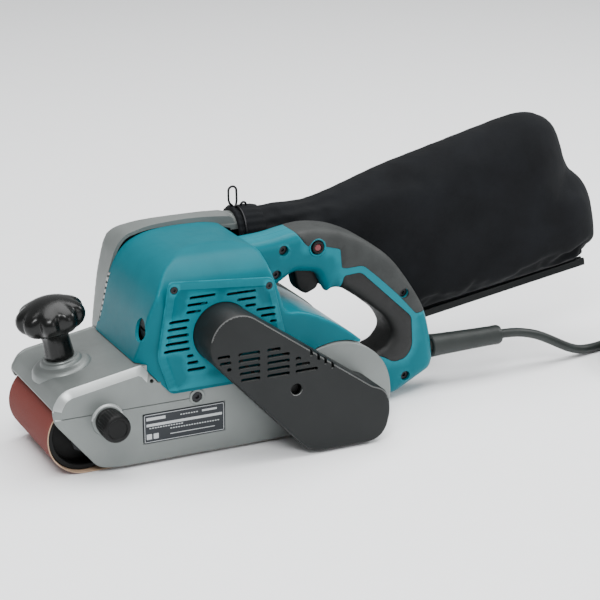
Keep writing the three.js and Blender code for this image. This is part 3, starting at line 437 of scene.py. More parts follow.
def cast(obj, voxel, passes):
    """Melts overlapping solids into one skin with soft edges."""
    skin = obj.modifiers.new("skin", "REMESH")
    skin.mode = "VOXEL"
    skin.voxel_size = voxel * MM
    soft = obj.modifiers.new("soft", "SMOOTH")
    soft.factor = 0.5
    soft.iterations = passes
    return settle(obj)


def bevelled(obj, width, segments, angle=32):
    """Rounds the edges that are sharper than angle."""
    bevel = obj.modifiers.new("bevel", "BEVEL")
    bevel.width = width * MM
    bevel.segments = segments
    bevel.limit_method = "ANGLE"
    bevel.angle_limit = math.radians(angle)
    return settle(obj)


def shaded(obj, angle=34):
    """Shades an object smooth but for the edges that are sharper than angle."""
    obj.data.polygons.foreach_set("use_smooth", [True] * len(obj.data.polygons))
    obj.data.set_sharp_from_angle(angle=math.radians(angle))
    return obj


def inside(points, poly):
    """Which of the points lie inside an outline."""
    x, y = points[:, 0][:, None], points[:, 1][:, None]
    x0, y0 = poly[:, 0][None], poly[:, 1][None]
    x1, y1 = np.roll(poly, -1, 0)[:, 0][None], np.roll(poly, -1, 0)[:, 1][None]
    across = (y0 > y) != (y1 > y)
    reach = (x1 - x0) * (y - y0) / np.where(y1 == y0, 1e-12, y1 - y0) + x0
    return (across & (x < reach)).sum(1) % 2 == 1


def edge_distance(points, poly):
    """Each point's distance to an outline."""
    a, b = poly, np.roll(poly, -1, 0)
    d = b - a
    best = np.full(len(points), 1e9)
    for start, step in zip(a, d):
        length = max(step @ step, 1e-12)
        t = np.clip(((points - start) @ step) / length, 0, 1)
        best = np.minimum(best, np.hypot(*(points - start - t[:, None] * step).T))
    return best


def resampled(points, spacing):
    """An outline with points added about a spacing apart."""
    made = []
    for i, p in enumerate(points):
        q = points[(i + 1) % len(points)]
        gap = math.dist(p, q)
        if gap < 1e-6:
            continue
        count = max(1, round(gap / spacing))
        for k in range(count):
            t = k / count
            made.append((p[0] + (q[0] - p[0]) * t, p[1] + (q[1] - p[1]) * t))
    return made


def pillow(name, corners, axis, top, bottom, rings, grid, spacing, within=None, holes=()):
    """A closed solid over an outline, with outlines left open as holes.

    top and bottom give its two heights from each point's distance to the edge of the outline, or of within
    where the piece is part of a larger form, its distance to its own edge, and its place."""
    edge = resampled(rounded(corners), spacing)
    poly = np.array(edge)
    form = np.array(resampled(rounded(within), spacing)) if within else poly
    loops = [edge] + [resampled(rounded(hole), spacing) for hole in holes]
    if within:
        loops.append([tuple(p) for p in form])
    flat, links = [], []
    for loop in loops:
        first = len(flat)
        flat += loop
        links += [(first + i, first + (i + 1) % len(loop)) for i in range(len(loop))]
    extra = []
    ahead, behind = np.roll(form, -1, 0), np.roll(form, 1, 0)
    along = ahead - behind
    normal = np.stack([-along[:, 1], along[:, 0]], 1) / np.maximum(np.hypot(*along.T), 1e-9)[:, None]
    if not inside(form[:1] + normal[:1] * 0.05, form)[0]:
        normal = -normal
    for ring_at in rings:
        p = form + normal * ring_at
        extra.append(p[(edge_distance(p, form) > 0.95 * ring_at) & inside(p, form)])
    low, high = poly.min(0), poly.max(0)
    us, vs = np.meshgrid(np.arange(low[0], high[0], grid), np.arange(low[1], high[1], grid))
    us[1::2] += grid / 2
    p = np.stack([us.ravel(), vs.ravel()], 1)
    last = max(rings) if rings else 0
    extra.append(p[edge_distance(p, form) > last + grid * 0.6])
    p = np.concatenate(extra)
    keep = inside(p, poly) & (edge_distance(p, poly) > 0.35)
    for hole in holes:
        shape = np.array(rounded(hole))
        keep &= ~inside(p, shape) & (edge_distance(p, shape) > 0.35)
    flat += [tuple(q) for q in p[keep]]
    verts2, _, tris, *_ = delaunay_2d_cdt([Vector(q) for q in flat], links, [], 0, 1e-5)
    verts2 = np.array([tuple(v) for v in verts2])
    tris = np.array(tris)
    middle = verts2[tris].mean(1)
    ok = inside(middle, poly)
    if within:
        ok &= inside(middle, form)
    for hole in holes:
        ok &= ~inside(middle, np.array(rounded(hole)))
    tris = tris[ok]
    used = np.unique(tris)
    index = {int(v): i for i, v in enumerate(used)}
    flat2 = verts2[used]
    away = edge_distance(flat2, form)
    rim = edge_distance(flat2, poly) if within else away
    ups = top(away, rim, flat2)
    downs = bottom(away, rim, flat2)
    count = len(used)
    verts = [PLACED[axis](u, v, w) for (u, v), w in zip(flat2, ups)]
    verts += [PLACED[axis](u, v, w) for (u, v), w in zip(flat2, downs)]
    faces, sides = [], {}
    for tri in tris:
        a, b, c = (index[int(v)] for v in tri)
        faces.append((a, b, c))
        faces.append((count + c, count + b, count + a))
        for e in ((a, b), (b, c), (c, a)):
            sides[e] = sides.get(e, 0) + 1
    for a, b in sides:
        if (b, a) not in sides:
            faces.append((a, count + a, count + b, b))
    return obj_of(name, verts, faces)


def level(value):
    """A flat face, for pillow's top or bottom."""
    return lambda away, rim, p: np.full(len(away), float(value))


def tinted(obj, index):
    """Gives every face of a piece one of its looks, by number."""
    obj.data.polygons.foreach_set("material_index", [index] * len(obj.data.polygons))
    return obj


def wire(name, points, r):
    """A round wire or cord of radius r along a line of points."""
    data = bpy.data.curves.new(name, "CURVE")
    data.dimensions = "3D"
    data.bevel_depth = r * MM
    data.bevel_resolution = 4
    data.use_fill_caps = True
    line = data.splines.new("POLY")
    line.points.add(len(points) - 1)
    for point, place in zip(line.points, points):
        point.co = (*(Vector(place) * MM), 1)
    line.use_smooth = True
    obj = bpy.data.objects.new(name, data)
    scene.collection.objects.link(obj)
    return obj


def put(obj, look, body, *stands_for, slot=None, angle=34):
    """Shades, paints and mounts a finished piece."""
    paint(obj, *((look,) if isinstance(look, str) else look))
    shaded(obj, angle)
    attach(obj, body)
    if stands_for:
        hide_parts(*stands_for)
    return obj


# ---- floor ----
floor = obj_of("floor", [(x, y, -0.0004) for x, y in ((-6, -6), (6, -6), (6, 6), (-6, 6))], [(0, 1, 2, 3)])
paint(floor, "floor")

# ---- mains lead ----
CORD_R = 4.25
CORD_ROUTE = [
    (0, 309.3, 38.6), (0, 322, 38.2), (0, 335, 36.2), (-0.6, 349, 31.9), (-1.8, 362, 25.8),
    (-3.4, 375, 18.8), (-5.4, 388, 12), (-8, 401, 7), (-11, 414, 4.9), (-13.6, 426, 4.4),
    (-16.1, 434.5, 4.3), (-17.9, 441.5, 4.3)]
COIL = (39, 478)
COIL_R = 51
WIND = 8.5
PLUG = Vector((58, COIL[1] + COIL_R, 34.8))
PLUG_ENTRY_X = 30
# The winding, as (turns, diameters out from COIL_R, height): inwards, outwards above that, inwards on top.
WINDING = [
    (0, 1, 4.25), (0.4, 1, 4.25), (1, 0, 4.25), (1.4, 0, 4.25), (2, -1, 4.25), (2.4, -1, 4.25),
    (2.7, -1, 12.75), (3, -1, 12.75), (3.6, 0, 12.75), (4, 0, 12.75), (4.6, 1, 12.75), (5, 1, 12.75),
    (5.35, 1, 21.2), (6, 1, 21.2), (6.6, 0, 21.2), (7, 0, 28)]


def curve_through(points, gap):
    """Points along a Catmull-Rom curve through the given ones, about a gap apart."""
    made = []
    ends = [points[0] * 2 - points[1], *points, points[-1] * 2 - points[-2]]
    for a, b, c, d in zip(ends, ends[1:], ends[2:], ends[3:]):
        count = max(1, round((c - b).length / gap))
        for k in range(count):
            t = k / count
            made.append(0.5 * (
                2 * b + (c - a) * t + (2 * a - 5 * b + 4 * c - d) * t * t
                + (3 * b - a - 3 * c + d) * t ** 3))
    made.append(points[-1])
    return made


def wound():
    points = []
    for k in range(1, int(WINDING[-1][0] * 24) + 1):
        turn = k / 24
        for (t0, r0, z0), (t1, r1, z1) in zip(WINDING, WINDING[1:]):
            if t0 <= turn <= t1:
                s = (turn - t0) / (t1 - t0)
                s = s * s * (3 - 2 * s)
                r = COIL_R + WIND * (r0 + (r1 - r0) * s)
                z = z0 + (z1 - z0) * s
        angle = math.pi - TAU * turn
        points.append(Vector((COIL[0] + r * math.cos(angle), COIL[1] + r * math.sin(angle), z)))
    return points


def last_bend():
    """The quarter of an ellipse that leads off the coil into the plug."""
    reach = PLUG_ENTRY_X - (COIL[0] - COIL_R)
    start = WINDING[-1][2]
    points = []
    for k in range(1, 9):
        t = k / 8
        angle = math.pi * (1 - t / 2)
        rise = math.sin(math.pi * t / 2)
        points.append(Vector((
            PLUG_ENTRY_X + reach * math.cos(angle), COIL[1] + COIL_R * math.sin(angle),
            start + (PLUG[2] - start) * rise)))
    points.append(points[-1] + Vector((4, 0, 0)))
    return points


lead_in = [Vector((COIL[0] - COIL_R - WIND, y, 4.25)) for y in (461, COIL[1])]
cord_line = curve_through([Vector(p) for p in CORD_ROUTE] + lead_in, 7) + wound() + last_bend()
mains_cord = wire("mains_cord", cord_line, CORD_R)


def plug():
    """The plug's body with its grooved neck and the pins' collars, and the two pins as a second piece."""
    body = prism([(-14, -9, 5), (-14, 9, 5), (14, 9, 5), (14, -9, 5)], "X", -18, 18)
    bevelled(body, 2.2, 4)
    grooves = [
        turned([(5.2, x), (7.9, x), (7.9, x + 1.6), (5.2, x + 1.6), (5.2, x)], "X")
        for x in (-26, -22.6, -19.2)]
    neck = boolean(turned([(0, -28), (5.2, -28), (5.6, -27.6), (8, -17), (0, -17)], "X"), grooves)
    pin = [(0, 17), (2.4, 17), (2.4, 35.6), (1.6, 37), (0, 37)]
    collar = [(0, 17.5), (3.2, 17.5), (3.2, 19), (2.6, 19.4), (0, 19.4)]
    pins, collars = ([turned(profile, "X", (y, 0), 20) for y in (-9.5, 9.5)] for profile in (pin, collar))
    whole = joined("plug_body", [body, neck, *collars])
    metal = joined("plug_pins", pins)
    for obj in (whole, metal):
        obj.data.transform(Matrix.Translation(PLUG * MM))
    return (
        put(whole, "cord", "machine", "mains_plug", slot="cord_rubber"),
        put(metal, "steel", "machine", slot="steel"))


plug_body, plug_pins = plug()
paint(mains_cord, "cord")
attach(mains_cord, "machine")
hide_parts("power_cord", "cord_coil")

# The moulded guard round the lead where it leaves the handle, with a rolled mouth.
guard = turned([
    (4.7, 232), (6.3, 232), (6.3, 237.6), (9.6, 237.6), (10.3, 238.4), (10.2, 241), (9.9, 247), (9.5, 262),
    (9.1, 278), (8.8, 292), (8.7, 301), (8.9, 304.5), (8.8, 307.2), (8.1, 308.8), (7.2, 309), (6.2, 308.4),
    (5.6, 306), (4.7, 300), (4.7, 232)], "Y", (0, 38.6), name="lead_guard")
put(guard, "cord", "machine", "cord_guard", slot="cord_rubber")


# ---- frame casting ----
SEAM = -45
WALL_OUT = 57
DECK_TILT = math.radians(10.5)
BELT_LENGTH = 610
BELT_R = 31.5
AXLE_Y = (BELT_LENGTH - TAU * BELT_R) / 4
AXLE_Z = BELT_R
MOTOR = (12, 106)
KNOB = Vector((0, -103.5, 76))
TRACKING = (-86, 45)
FRAME_SCREW = (-9, 52)
DECK_LINE = [(-131, 59, 6), (-124.5, 70, 5), (-118, 74, 4), (-57, 84.8)]
FENDER_OUT = [
    (92, 70), (99, 76, 8), (116, 79.2, 12), (131, 77.5, 14), (144, 72, 14), (155, 64, 14), (163.5, 53, 14),
    (168, 40, 14), (169.3, 24, 10), (166, 10, 4)]
FENDER_IN = [
    (162.5, 10, 2), (165.5, 24, 8), (164.3, 39, 12), (160.2, 51.5, 12), (152.5, 61.2, 12),
    (142.3, 68.8, 12), (130.2, 74, 12), (116, 75.7, 10), (101, 73, 4), (96, 66)]


def tilted(obj):
    """Stands a piece that was made on Z on the sloping deck, under the knob."""
    obj.data.transform(Matrix.Translation(KNOB * MM) @ Matrix.Rotation(DECK_TILT, 4, "X"))
    return obj


def set_in(line):
    """An outline moved in by half a millimetre, so that the wall stands a little proud of it."""
    return [(y - math.copysign(0.5, y), z - 0.5, *r) for y, z, *r in line]


def chamfered(away, rim, p):
    """The wall's outer face, with a sloping band along its front and upper edge ahead of the housing."""
    fade = np.clip((p[:, 1] - 38) / 14, 0, 1) * np.clip((-44 - p[:, 0]) / 8, 0, 1)
    return WALL_OUT - np.clip(1 - away / 6.2, 0, 1) * 4.2 * fade - np.clip(1 - away / 0.8, 0, 1) * 0.6


def side_wall():
    """The left wall, with a recess for the name plate, a groove and two screw holes."""
    outline = [
        (-129, 47, 4), *DECK_LINE, (-54.4, 84.8), (-49.3, 77.9), (-42.5, 70), *FENDER_OUT, (150, 2.6),
        (-80, 2.6, 10), (-95, 5.5, 6)]
    wall = pillow("wall", outline, "X", chamfered, level(52), rings=(0.8, 6.2), grid=9, spacing=3)
    cuts = [
        block(WALL_OUT - 0.8, 60, -56.6, 15.6, 18.4, 44.6),
        block(WALL_OUT - 0.9, 60, -132, -15.5, 51.1, 51.9),
        rod("X", 1.7, 50, 60, -47.6, 71.6, 20), rod("X", 4.4, 54, 60, *FRAME_SCREW)]
    return boolean(wall, cuts)


def core_block():
    """The block between the belt's runs, with rooms for the lever, the spring and the carrier's stem."""
    core = block(-44, 52.4, -52, 60, 5.3, 58)
    lever_room = block(-60, -32, -60, -35, 19, 37)
    spring_room = rod("Y", 10.6, -60, -40, 0, AXLE_Z)
    stem_room = rod("Y", 6.3, -60, 4, 0, AXLE_Z)
    hollow = block(-36, 46, 6, 52, 4, 52)
    return boolean(core, [lever_room, spring_room, stem_room, hollow])


def frame_casting():
    """The wall, deck, cheek and fender with their bosses. The wall's upward-facing sloping band gets a
    painted highlight, a paler copy of the silver.
    """
    deck = prism([
        (-128.4, 57, 1.5), *set_in(DECK_LINE), (-50, 84.3), (-50, 70), (96, 70), (96, 66.3), (-54, 66.3),
        (-54, 80.6), (-57, 80.6), (-117.5, 69.8, 4), (-121.5, 66.5, 4), (-126.5, 57, 1)],
        "X", -52, 52.6, 10)
    cheek = prism([
        (-127, 50.5, 3), *DECK_LINE, (-50, 84.8), (-50, 66.3), (-106, 66.3, 6), (-117, 61, 4)],
        "X", -55, -51.4, 10)
    fender = prism([*set_in(FENDER_OUT), *FENDER_IN], "X", -52, 52.6, 10)
    bevelled(cheek, 1.1, 3)
    bevelled(fender, 0.8, 2, 50)
    boss = tilted(turned([
        (0, -6), (26, -6), (25.2, -1.5), (23.8, 0.6), (22.2, 2), (20.4, 2.7), (18.6, 3), (17.4, 3.7),
        (16.7, 5), (15.8, 5.9), (14.6, 6.2), (13.8, 6.5), (13.3, 7.1), (12.6, 7.3), (0, 7.3)],
        "Z", segments=72))
    tracking_boss = turned([
        (0, 56), (14.2, 56), (13.7, 57.6), (13, 58.4), (12.2, 58.7), (0, 58.7)], "X", TRACKING, 56)
    screw_boss = turned([
        (4.4, 56), (7, 56), (6.8, 57.6), (6.3, 58), (4.8, 58), (4.4, 57.6), (4.4, 56)],
        "X", FRAME_SCREW, 40)
    hub = turned([(13.3, 14.5), (19, 14.5), (19, 52.4), (13.3, 52.4), (13.3, 14.5)], "X", (AXLE_Y, AXLE_Z))
    whole = joined("frame_casting", [
        side_wall(), core_block(), deck, cheek, fender, boss, tracking_boss, screw_boss, hub])
    # Faces of the wall's sloping band that face up take the second look, a painted highlight.
    for face in whole.data.polygons:
        x, y, _ = face.center / MM
        slopes = 0.25 < face.normal.x < 0.95 and face.normal.z > 0.1
        face.material_index = 1 if slopes and x > 51 and y < -50 else 0
    return put(whole, ("silver", "silver_painted_highlight"), "machine", "frame", slot="silver_casting", angle=28)


frame_casting()


def name_plate():
    """A foil plate with a border, plain bars and tick rows where a real plate is printed."""
    outline = [(-56, 19, 1.5), (15, 19, 1.5), (15, 44, 1.5), (-56, 44, 1.5)]
    foil = tinted(prism(outline, "X", 56.3, 57.5), 0)
    bars = [(-55.2, 14.2, 19.7, 20.1), (-55.2, 14.2, 42.9, 43.3), (-55.2, -54.8, 19.7, 43.3),
        (13.8, 14.2, 19.7, 43.3)]
    bars += [(-53.5, 12.5, 33.2, 35.4), (-53.5, -37, 38.4, 40.9), (-5, 8, 38.8, 40.4)]
    bars += [(-53.5, -49, 22.2, 26.7), (-47.5, -43.2, 22.2, 26.7), (-33, 6, 24, 24.6)]
    for start, stop, z in ((-51, -22, 31.2), (-33, 10, 28.6), (-24, -10, 39)):
        bars += [(y, y + 1.5, z, z + 0.8) for y in np.arange(start, stop, 2.3)]
    print_pieces = [tinted(block(57.3, 57.7, *bar), 1) for bar in bars]
    plate = joined("name_plate_foil", [foil, *print_pieces])
    return put(plate, ("plate", "print"), "machine", "name_plate", slot="plate")


name_plate()


# ---- knob and tracking adjuster ----
def scallop(angle, r):
    """Nine wide lobes round the rim, fading out over the crown."""
    dip = max(0.0, 0.5 + 0.5 * math.cos(9 * angle)) ** 1.9
    return 1 - 0.14 * dip * max(0.0, (r - 17) / 11.4) ** 1.1


def fluted(angle, r):
    return 1 + 0.022 * math.cos(8 * angle)


def front_knob():
    """The lobed head on its flaring stem, standing square to the sloping deck."""
    head = turned([
        (0, 31.2), (9, 31), (14, 31), (18.5, 31.8), (22.8, 33.6), (26, 36.2), (28, 39.6), (28.8, 43.2),
        (28.3, 46.6), (26.6, 49.6), (24, 51.9), (20.6, 53.7), (17, 55.3), (13, 56.9), (8.6, 58.2),
        (4, 58.9), (0, 59)],
        "Z", segments=160, shape=scallop)
    stem = turned([
        (0, 7.5), (11.3, 7.5), (12, 8.2), (11.8, 12), (11.2, 20), (11.1, 25), (12, 28.5), (14, 31),
        (16.5, 32.4), (0, 32.4)], "Z", segments=96, shape=fluted)
    knob = tilted(joined("front_knob_moulding", [head, stem]))
    return put(knob, "gloss", "machine", "front_knob", slot="black_gloss", angle=50)


front_knob()


def ribbed(angle, r):
    return 1 + (0.018 if r > 11.2 else 0) * math.cos(28 * angle)


tracking = turned([
    (0, 58.9), (10.6, 58.9), (11.1, 59.4), (11.1, 61.6), (10.5, 62.1), (10.5, 63), (11.4, 63.6),
    (11.6, 65), (11.6, 77.6), (11.2, 79), (10.5, 79.9), (9.4, 80.4), (8.2, 80.2), (7.6, 79.4), (0, 79)],
    "X", TRACKING, 168, ribbed,
    "tracking_knob_cap")
put(tracking, "black", "tracking", "tracking_knob", slot="black_plastic", angle=40)


# ---- belt and rollers ----
def stadium(r, arc=40, run=24):
    """Points along the belt's path round both rollers, at radius r."""
    points = []
    for side, start in ((1, -math.pi / 2), (-1, math.pi / 2)):
        points += [
            (side * AXLE_Y + r * math.cos(start + math.pi * k / arc),
            AXLE_Z + r * math.sin(start + math.pi * k / arc))
            for k in range(arc)]
        y0, y1 = side * AXLE_Y, -side * AXLE_Y
        points += [(y0 + (y1 - y0) * k / run, AXLE_Z + side * r) for k in range(run)]
    return points


def sanding_belt():
    """A cloth belt: grit outside, backing inside, and a pale cut edge each side."""
    section = [
        (-50, BELT_R - 0.25), (-49.8, BELT_R), (-25, BELT_R), (0, BELT_R), (25, BELT_R), (49.8, BELT_R),
        (50, BELT_R - 0.25), (50, 30.6), (49.8, 30.5), (0, 30.5), (-49.8, 30.5), (-50, 30.6)]
    loops = [[(x * MM, y * MM, z * MM) for y, z in stadium(r)] for x, r in section]
    count = len(loops[0])
    verts = [v for loop in loops for v in loop]
    faces = [
        (i * count + k, i * count + (k + 1) % count, (i + 1) % len(loops) * count + (k + 1) % count,
         (i + 1) % len(loops) * count + k)
        for i in range(len(loops)) for k in range(count)]
    belt = obj_of("abrasive_belt", verts, faces)
    outside = range(1, 5)
    belt.data.polygons.foreach_set("material_index", [
        0 if i in outside else 1 for i in range(len(loops)) for k in range(count)])
    return put(belt, ("belt", "backing"), "machine", "sanding_belt", slot="abrasive")


sanding_belt()


def roller(name, profile, look, body, slot, y, *stands_for):
    round_piece = turned(profile, "X", (y, AXLE_Z), 80, name=name)
    return put(round_piece, look, body, *stands_for, slot=slot)


roller("front_roller_turned", [
    (5.3, -42), (11, -42), (11, -34), (25.4, -34), (25.4, -45.2), (26.2, -46), (29.4, -46), (30.1, -45.2),
    (30.2, -30), (30.2, 30), (30.1, 45.2), (29.4, 46), (26.2, 46), (25.4, 45.2), (25.4, 34), (11, 34),
    (11, 42), (5.3, 42), (5.3, -42)], "black", "front_roller", "black_plastic", -AXLE_Y, "front_roller")
roller("rear_roller_cup", [
    (6.8, -47), (26.8, -47), (27.5, -46.3), (27.5, 46.3), (26.8, 47), (22, 47), (22, -38), (6.8, -38),
    (6.8, -47)],
    "steel", "drive_roller", "steel", AXLE_Y, "rear_roller")
roller("rear_roller_rubber", [
    (27.8, -47), (29.6, -47), (30.2, -46.4), (30.2, 46.4), (29.6, 47), (27.8, 47), (27.8, -47)],
    "roller", "drive_roller", "roller_rubber", AXLE_Y, "roller_sleeve")


# ---- motor housing and vent panel ----
HOUSING_X = 60
PANEL_X = 63
BRUSH = (42, 111)
PANEL_SCREWS = [(-29, 147), (53.5, 139.5)]
HOUSING_TOP = [
    (-52.5, 104, 20), (-47.5, 126, 20), (-40, 145, 14), (-30, 157.5, 14), (-13, 164.8, 14), (10, 167, 16)]
HOUSING_IN = [
    (-56, 50), (-55, 86), (-49.5, 105, 20), (-44.5, 125, 20), (-37.5, 143, 12), (-28.5, 154.5, 12),
    (-12.5, 161.6, 12), (10, 164, 12), (42, 163.2, 12), (54, 160, 3), (57.4, 145, 4), (66.3, 110),
    (66.3, 50)]


def motor_housing():
    """The shell: three outlines crossed and melted into soft edges, then hollowed, trimmed and pierced."""
    form = prism([
        (-58, 60), (-58, 85.1), *HOUSING_TOP, (42, 166.4, 14), (57, 163, 4), (60.5, 146, 6),
        (69.5, 113, 5), (86, 111, 12), (106, 102.5, 14), (130, 87, 12), (150, 70), (160, 50), (-58, 50)],
        "X", -62, HOUSING_X, 10)
    over = prism([
        (-70, 40), (-70, 167.4), (10, 167.2), (38, 162, 20), (56, 146, 24), (HOUSING_X, 124, 16),
        (HOUSING_X, 40)],
        "Y", -70, 170, 10)
    ahead = prism([
        (-70, -70), (24, -70), (46, -58, 14), (HOUSING_X, -38, 12), (HOUSING_X, 66, 3), (56.6, 90),
        (50, 170), (-70, 170)], "Z", 40, 175, 10)
    boolean(form, [over, ahead], "INTERSECT")
    cast(form, 1.5, 7)
    inner = prism(HOUSING_IN, "X", SEAM - 1, HOUSING_X - 3)
    inner_over = prism([
        (-60, 40), (-60, 164), (10, 163.6), (36.5, 158.8, 18), (53.4, 144.3, 20), (57.3, 124, 12),
        (57.3, 40)],
        "Y", -70, 160)
    inner_ahead = prism([
        (-60, -70), (22.5, -70), (44, -55.5, 12), (57.3, -37, 10), (57.3, 80), (-60, 80)], "Z", 40, 175)
    boolean(inner, [inner_over, inner_ahead], "INTERSECT")
    under = prism([
        (-80, 30), (-80, 85.1), (-54, 85.1), (-49, 78.4, 3), (-32, 59, 3), (90, 59, 3), (90, 71.5),
        (98.5, 77, 6), (116, 80, 8), (131.5, 78.4, 8), (141, 74.2), (146, 78), (175, 60), (175, 30)],
        "X", -90, 80)
    window = prism([
        (-24, 142), (48, 135.5), (61.5, 124), (62.5, 72), (-30, 72), (-37, 93), (-35, 124), (-24, 134)],
        "X", 50, 70)
    boolean(window, [rod("X", 29, 40, 80, *MOTOR)])
    over_frame = block(-60, 57.3, -54, 92, 40, 70.4)
    seam = block(-90, SEAM + 0.3, -90, 190, 20, 190)
    brush_room = turned([(0, -30), (9.4, -30), (9.4, -70), (0, -70)], "Y", BRUSH, 40)
    slit = block(-60, -41.3, -60, -38, 91.5, 134)
    screw_holes = [rod("X", 1.9, 50, 70, *place, 16) for place in PANEL_SCREWS]
    boolean(form, [seam, under, inner, over_frame, window, brush_room, slit, *screw_holes])
    boss = turned([
        (13.2, 49), (17.5, 49), (17.5, 57.5), (5.6, 57.5), (5.6, 56), (13.2, 56), (13.2, 49)], "X", MOTOR)
    return put(joined("motor_shell", [form, boss]), "teal", "machine", "motor_housing",
        slot="teal_plastic", angle=40)


motor_housing()


PANEL_VENTS = [
    (-16, 7, 138.5), (-18, 0, 132.6), (-19, -6, 126.7), (-34, -16, 120.3), (-35.5, -18, 114.3),
    (-36.5, -17, 108.3), (-37.5, -17, 102.3), (-39, -16, 96.3), (-19, -13, 90), (-19, -9, 84),
    (-19, -3, 78), (16, 42, 137), (25, 42, 131), (32, 42, 125), (42, 59, 120.3), (46, 59, 114.5),
    (54, 60, 108.8)]


def panel_height(away, rim, p):
    """A sloping band round the panel, then a small step down to the vented field."""
    edge = np.clip(1 - away / 1.1, 0, 1) ** 2 * 0.6
    slope = np.clip(1 - away / 6.2, 0, 1) * 1.7
    step = np.clip((away - 6.2) / 2.2, 0, 1) * 0.9
    return PANEL_X - edge - slope - step


def vent_panel():
    """The slotted side panel. Its band follows the whole panel's edge, part of which the frame hides."""
    outline = [
        (-33, 154, 4), (57, 146, 4), (68, 98, 4), (68, 62.4), (-36, 62.4), (-44, 92, 6)]
    whole = [(-33, 154, 4), (57, 146, 4), (68, 98, 4), (68, 30), (-24, 30), (-44, 92, 6)]
    holes = [slot_outline(*vent, 2.7) for vent in PANEL_VENTS]
    holes += [circle(MOTOR, 25.6, 64), *(circle(place, 3.3, 24) for place in PANEL_SCREWS)]
    panel = pillow("vent_panel", outline, "X", panel_height, level(HOUSING_X + 0.3),
        rings=(0.5, 1.1, 1.7, 6.2, 8.4), grid=5, spacing=1.6, within=whole, holes=holes)
    return put(panel, "teal", "machine", "vent_cover", slot="teal_plastic", angle=30)


vent_panel()

cap = turned([
    (0, -48), (8.2, -48), (8.9, -47.3), (8.9, -42), (7.5, -40), (0, -40)],
    "Y", BRUSH, 48, name="brush_cap_turned")
boolean(cap, [block(BRUSH[0] - 7, BRUSH[0] + 7, -50, -46.4, BRUSH[1] - 1.2, BRUSH[1] + 1.2)])
put(cap, "black", "machine", "brush_cap", slot="black_plastic")


# ---- dust side ----
SCROLL_X = -79
NOZZLE = (-60, 149.5)
NOZZLE_R = 18.5
SCROLL_TOP = [
    (-52, 104, 20), (-46.5, 129, 20), (-38.5, 153, 12), (-30, 163.5, 12), (-8, 169.3, 14), (26, 171, 16),
    (50, 169.8, 16), (69, 167.5, 4)]
SCROLL_IN = [
    (-53.5, 69), (-53.5, 86, 6), (-49.2, 104, 18), (-43.8, 128, 18), (-36, 151.5, 10), (-28.5, 161, 10),
    (-7.5, 166.2, 12), (24, 165.6, 14), (44, 163.4, 14), (66.5, 157.5), (68.4, 128), (68.4, 69)]
DUCT_TOP = [(73, 122, 6), (92, 113, 12), (110, 103, 12), (130, 88, 10), (151, 71.5, 14), (167, 47, 14),
    (169.3, 24, 6)]
DUCT_IN = [
    (71, 69), (71, 124), (94.5, 104.8, 9), (122.6, 88, 9), (149, 69.7, 12), (164.3, 46.3, 12),
    (166.5, 24.5, 5), (164, 17, 2), (140.2, 17, 2), (140.2, 69, 4)]


def fan_housing():
    """The dust fan's scroll with its duct and outlet, as one thin-walled casting."""
    scroll = prism([(-56.5, 50), (-56.5, 86, 6), *SCROLL_TOP, (71, 128), (71, 50)], "X", SCROLL_X, -30, 10)
    over = prism([
        (SCROLL_X, 40), (SCROLL_X, 154, 8), (SCROLL_X + 6, 165, 8), (SCROLL_X + 17, 171.5, 8),
        (-20, 171.5), (-20, 40)], "Y", -70, 80, 10)
    ahead = prism([
        (SCROLL_X, 80), (SCROLL_X, -32, 12), (SCROLL_X + 9, -48, 10), (SCROLL_X + 22, -58), (-20, -58),
        (-20, 80)],
        "Z", 40, 175, 10)
    boolean(scroll, [over, ahead], "INTERSECT")
    duct = prism([(60, 50), (60, 128), *DUCT_TOP, (166, 14, 3), (137.5, 14, 3), (137.5, 50, 4)],
        "X", -69, -50, 10)
    outlet = rod("Y", NOZZLE_R, 50, 81, *NOZZLE, 56)
    skin = cast(joined("scroll", [scroll, duct, outlet]), 1.5, 6)
    inner = prism(SCROLL_IN, "X", -75, -40)
    inner_duct = prism(DUCT_IN, "X", -66.5, -50)
    passage = block(-66.5, -50, 60, 74, 72, 122)
    bore = rod("Y", NOZZLE_R - 2.5, 40, 90, *NOZZLE, 56)
    trims = [
        block(SEAM - 0.3, 0, -90, 190, 20, 200), block(-90, -40, -90, 97, 20, 66.3),
        block(-55.3, -40, -80, -49.7, 50, 85.1), block(-55.3, -40, -60, 97, 50, 70.3),
        block(-55.3, -30, 72, 190, 0, 130), block(-90, -40, 90, 137.5, 0, 66.3)]
    boolean(skin, [*trims, inner, inner_duct, passage, bore])
    lip = turned([
        (NOZZLE_R - 2.5, 78.4), (NOZZLE_R, 78.4), (NOZZLE_R + 0.35, 79), (NOZZLE_R + 0.35, 80.2),
        (NOZZLE_R, 80.8), (NOZZLE_R - 2.5, 80.8), (NOZZLE_R - 2.5, 78.4)], "Y", NOZZLE, 56)
    fins = prism([
        (-54.4, 92.5), (-51.9, 104), (-46.6, 128), (-44.9, 133), (-41.5, 133), (-48.5, 104), (-51, 92.5)],
        "X", SEAM - 0.6, SEAM + 3.1)
    boolean(fins, [block(-50, -30, -60, -30, z, z + 2.3) for z in range(94, 134, 5)])
    # The fins take the second look, a paler copy of the silver: a painted highlight.
    whole = joined("fan_scroll", [tinted(skin, 0), tinted(fins, 1), lip])
    return put(whole, ("silver", "silver_painted_highlight"), "machine", "fan_housing", slot="silver_casting", angle=40)


fan_housing()


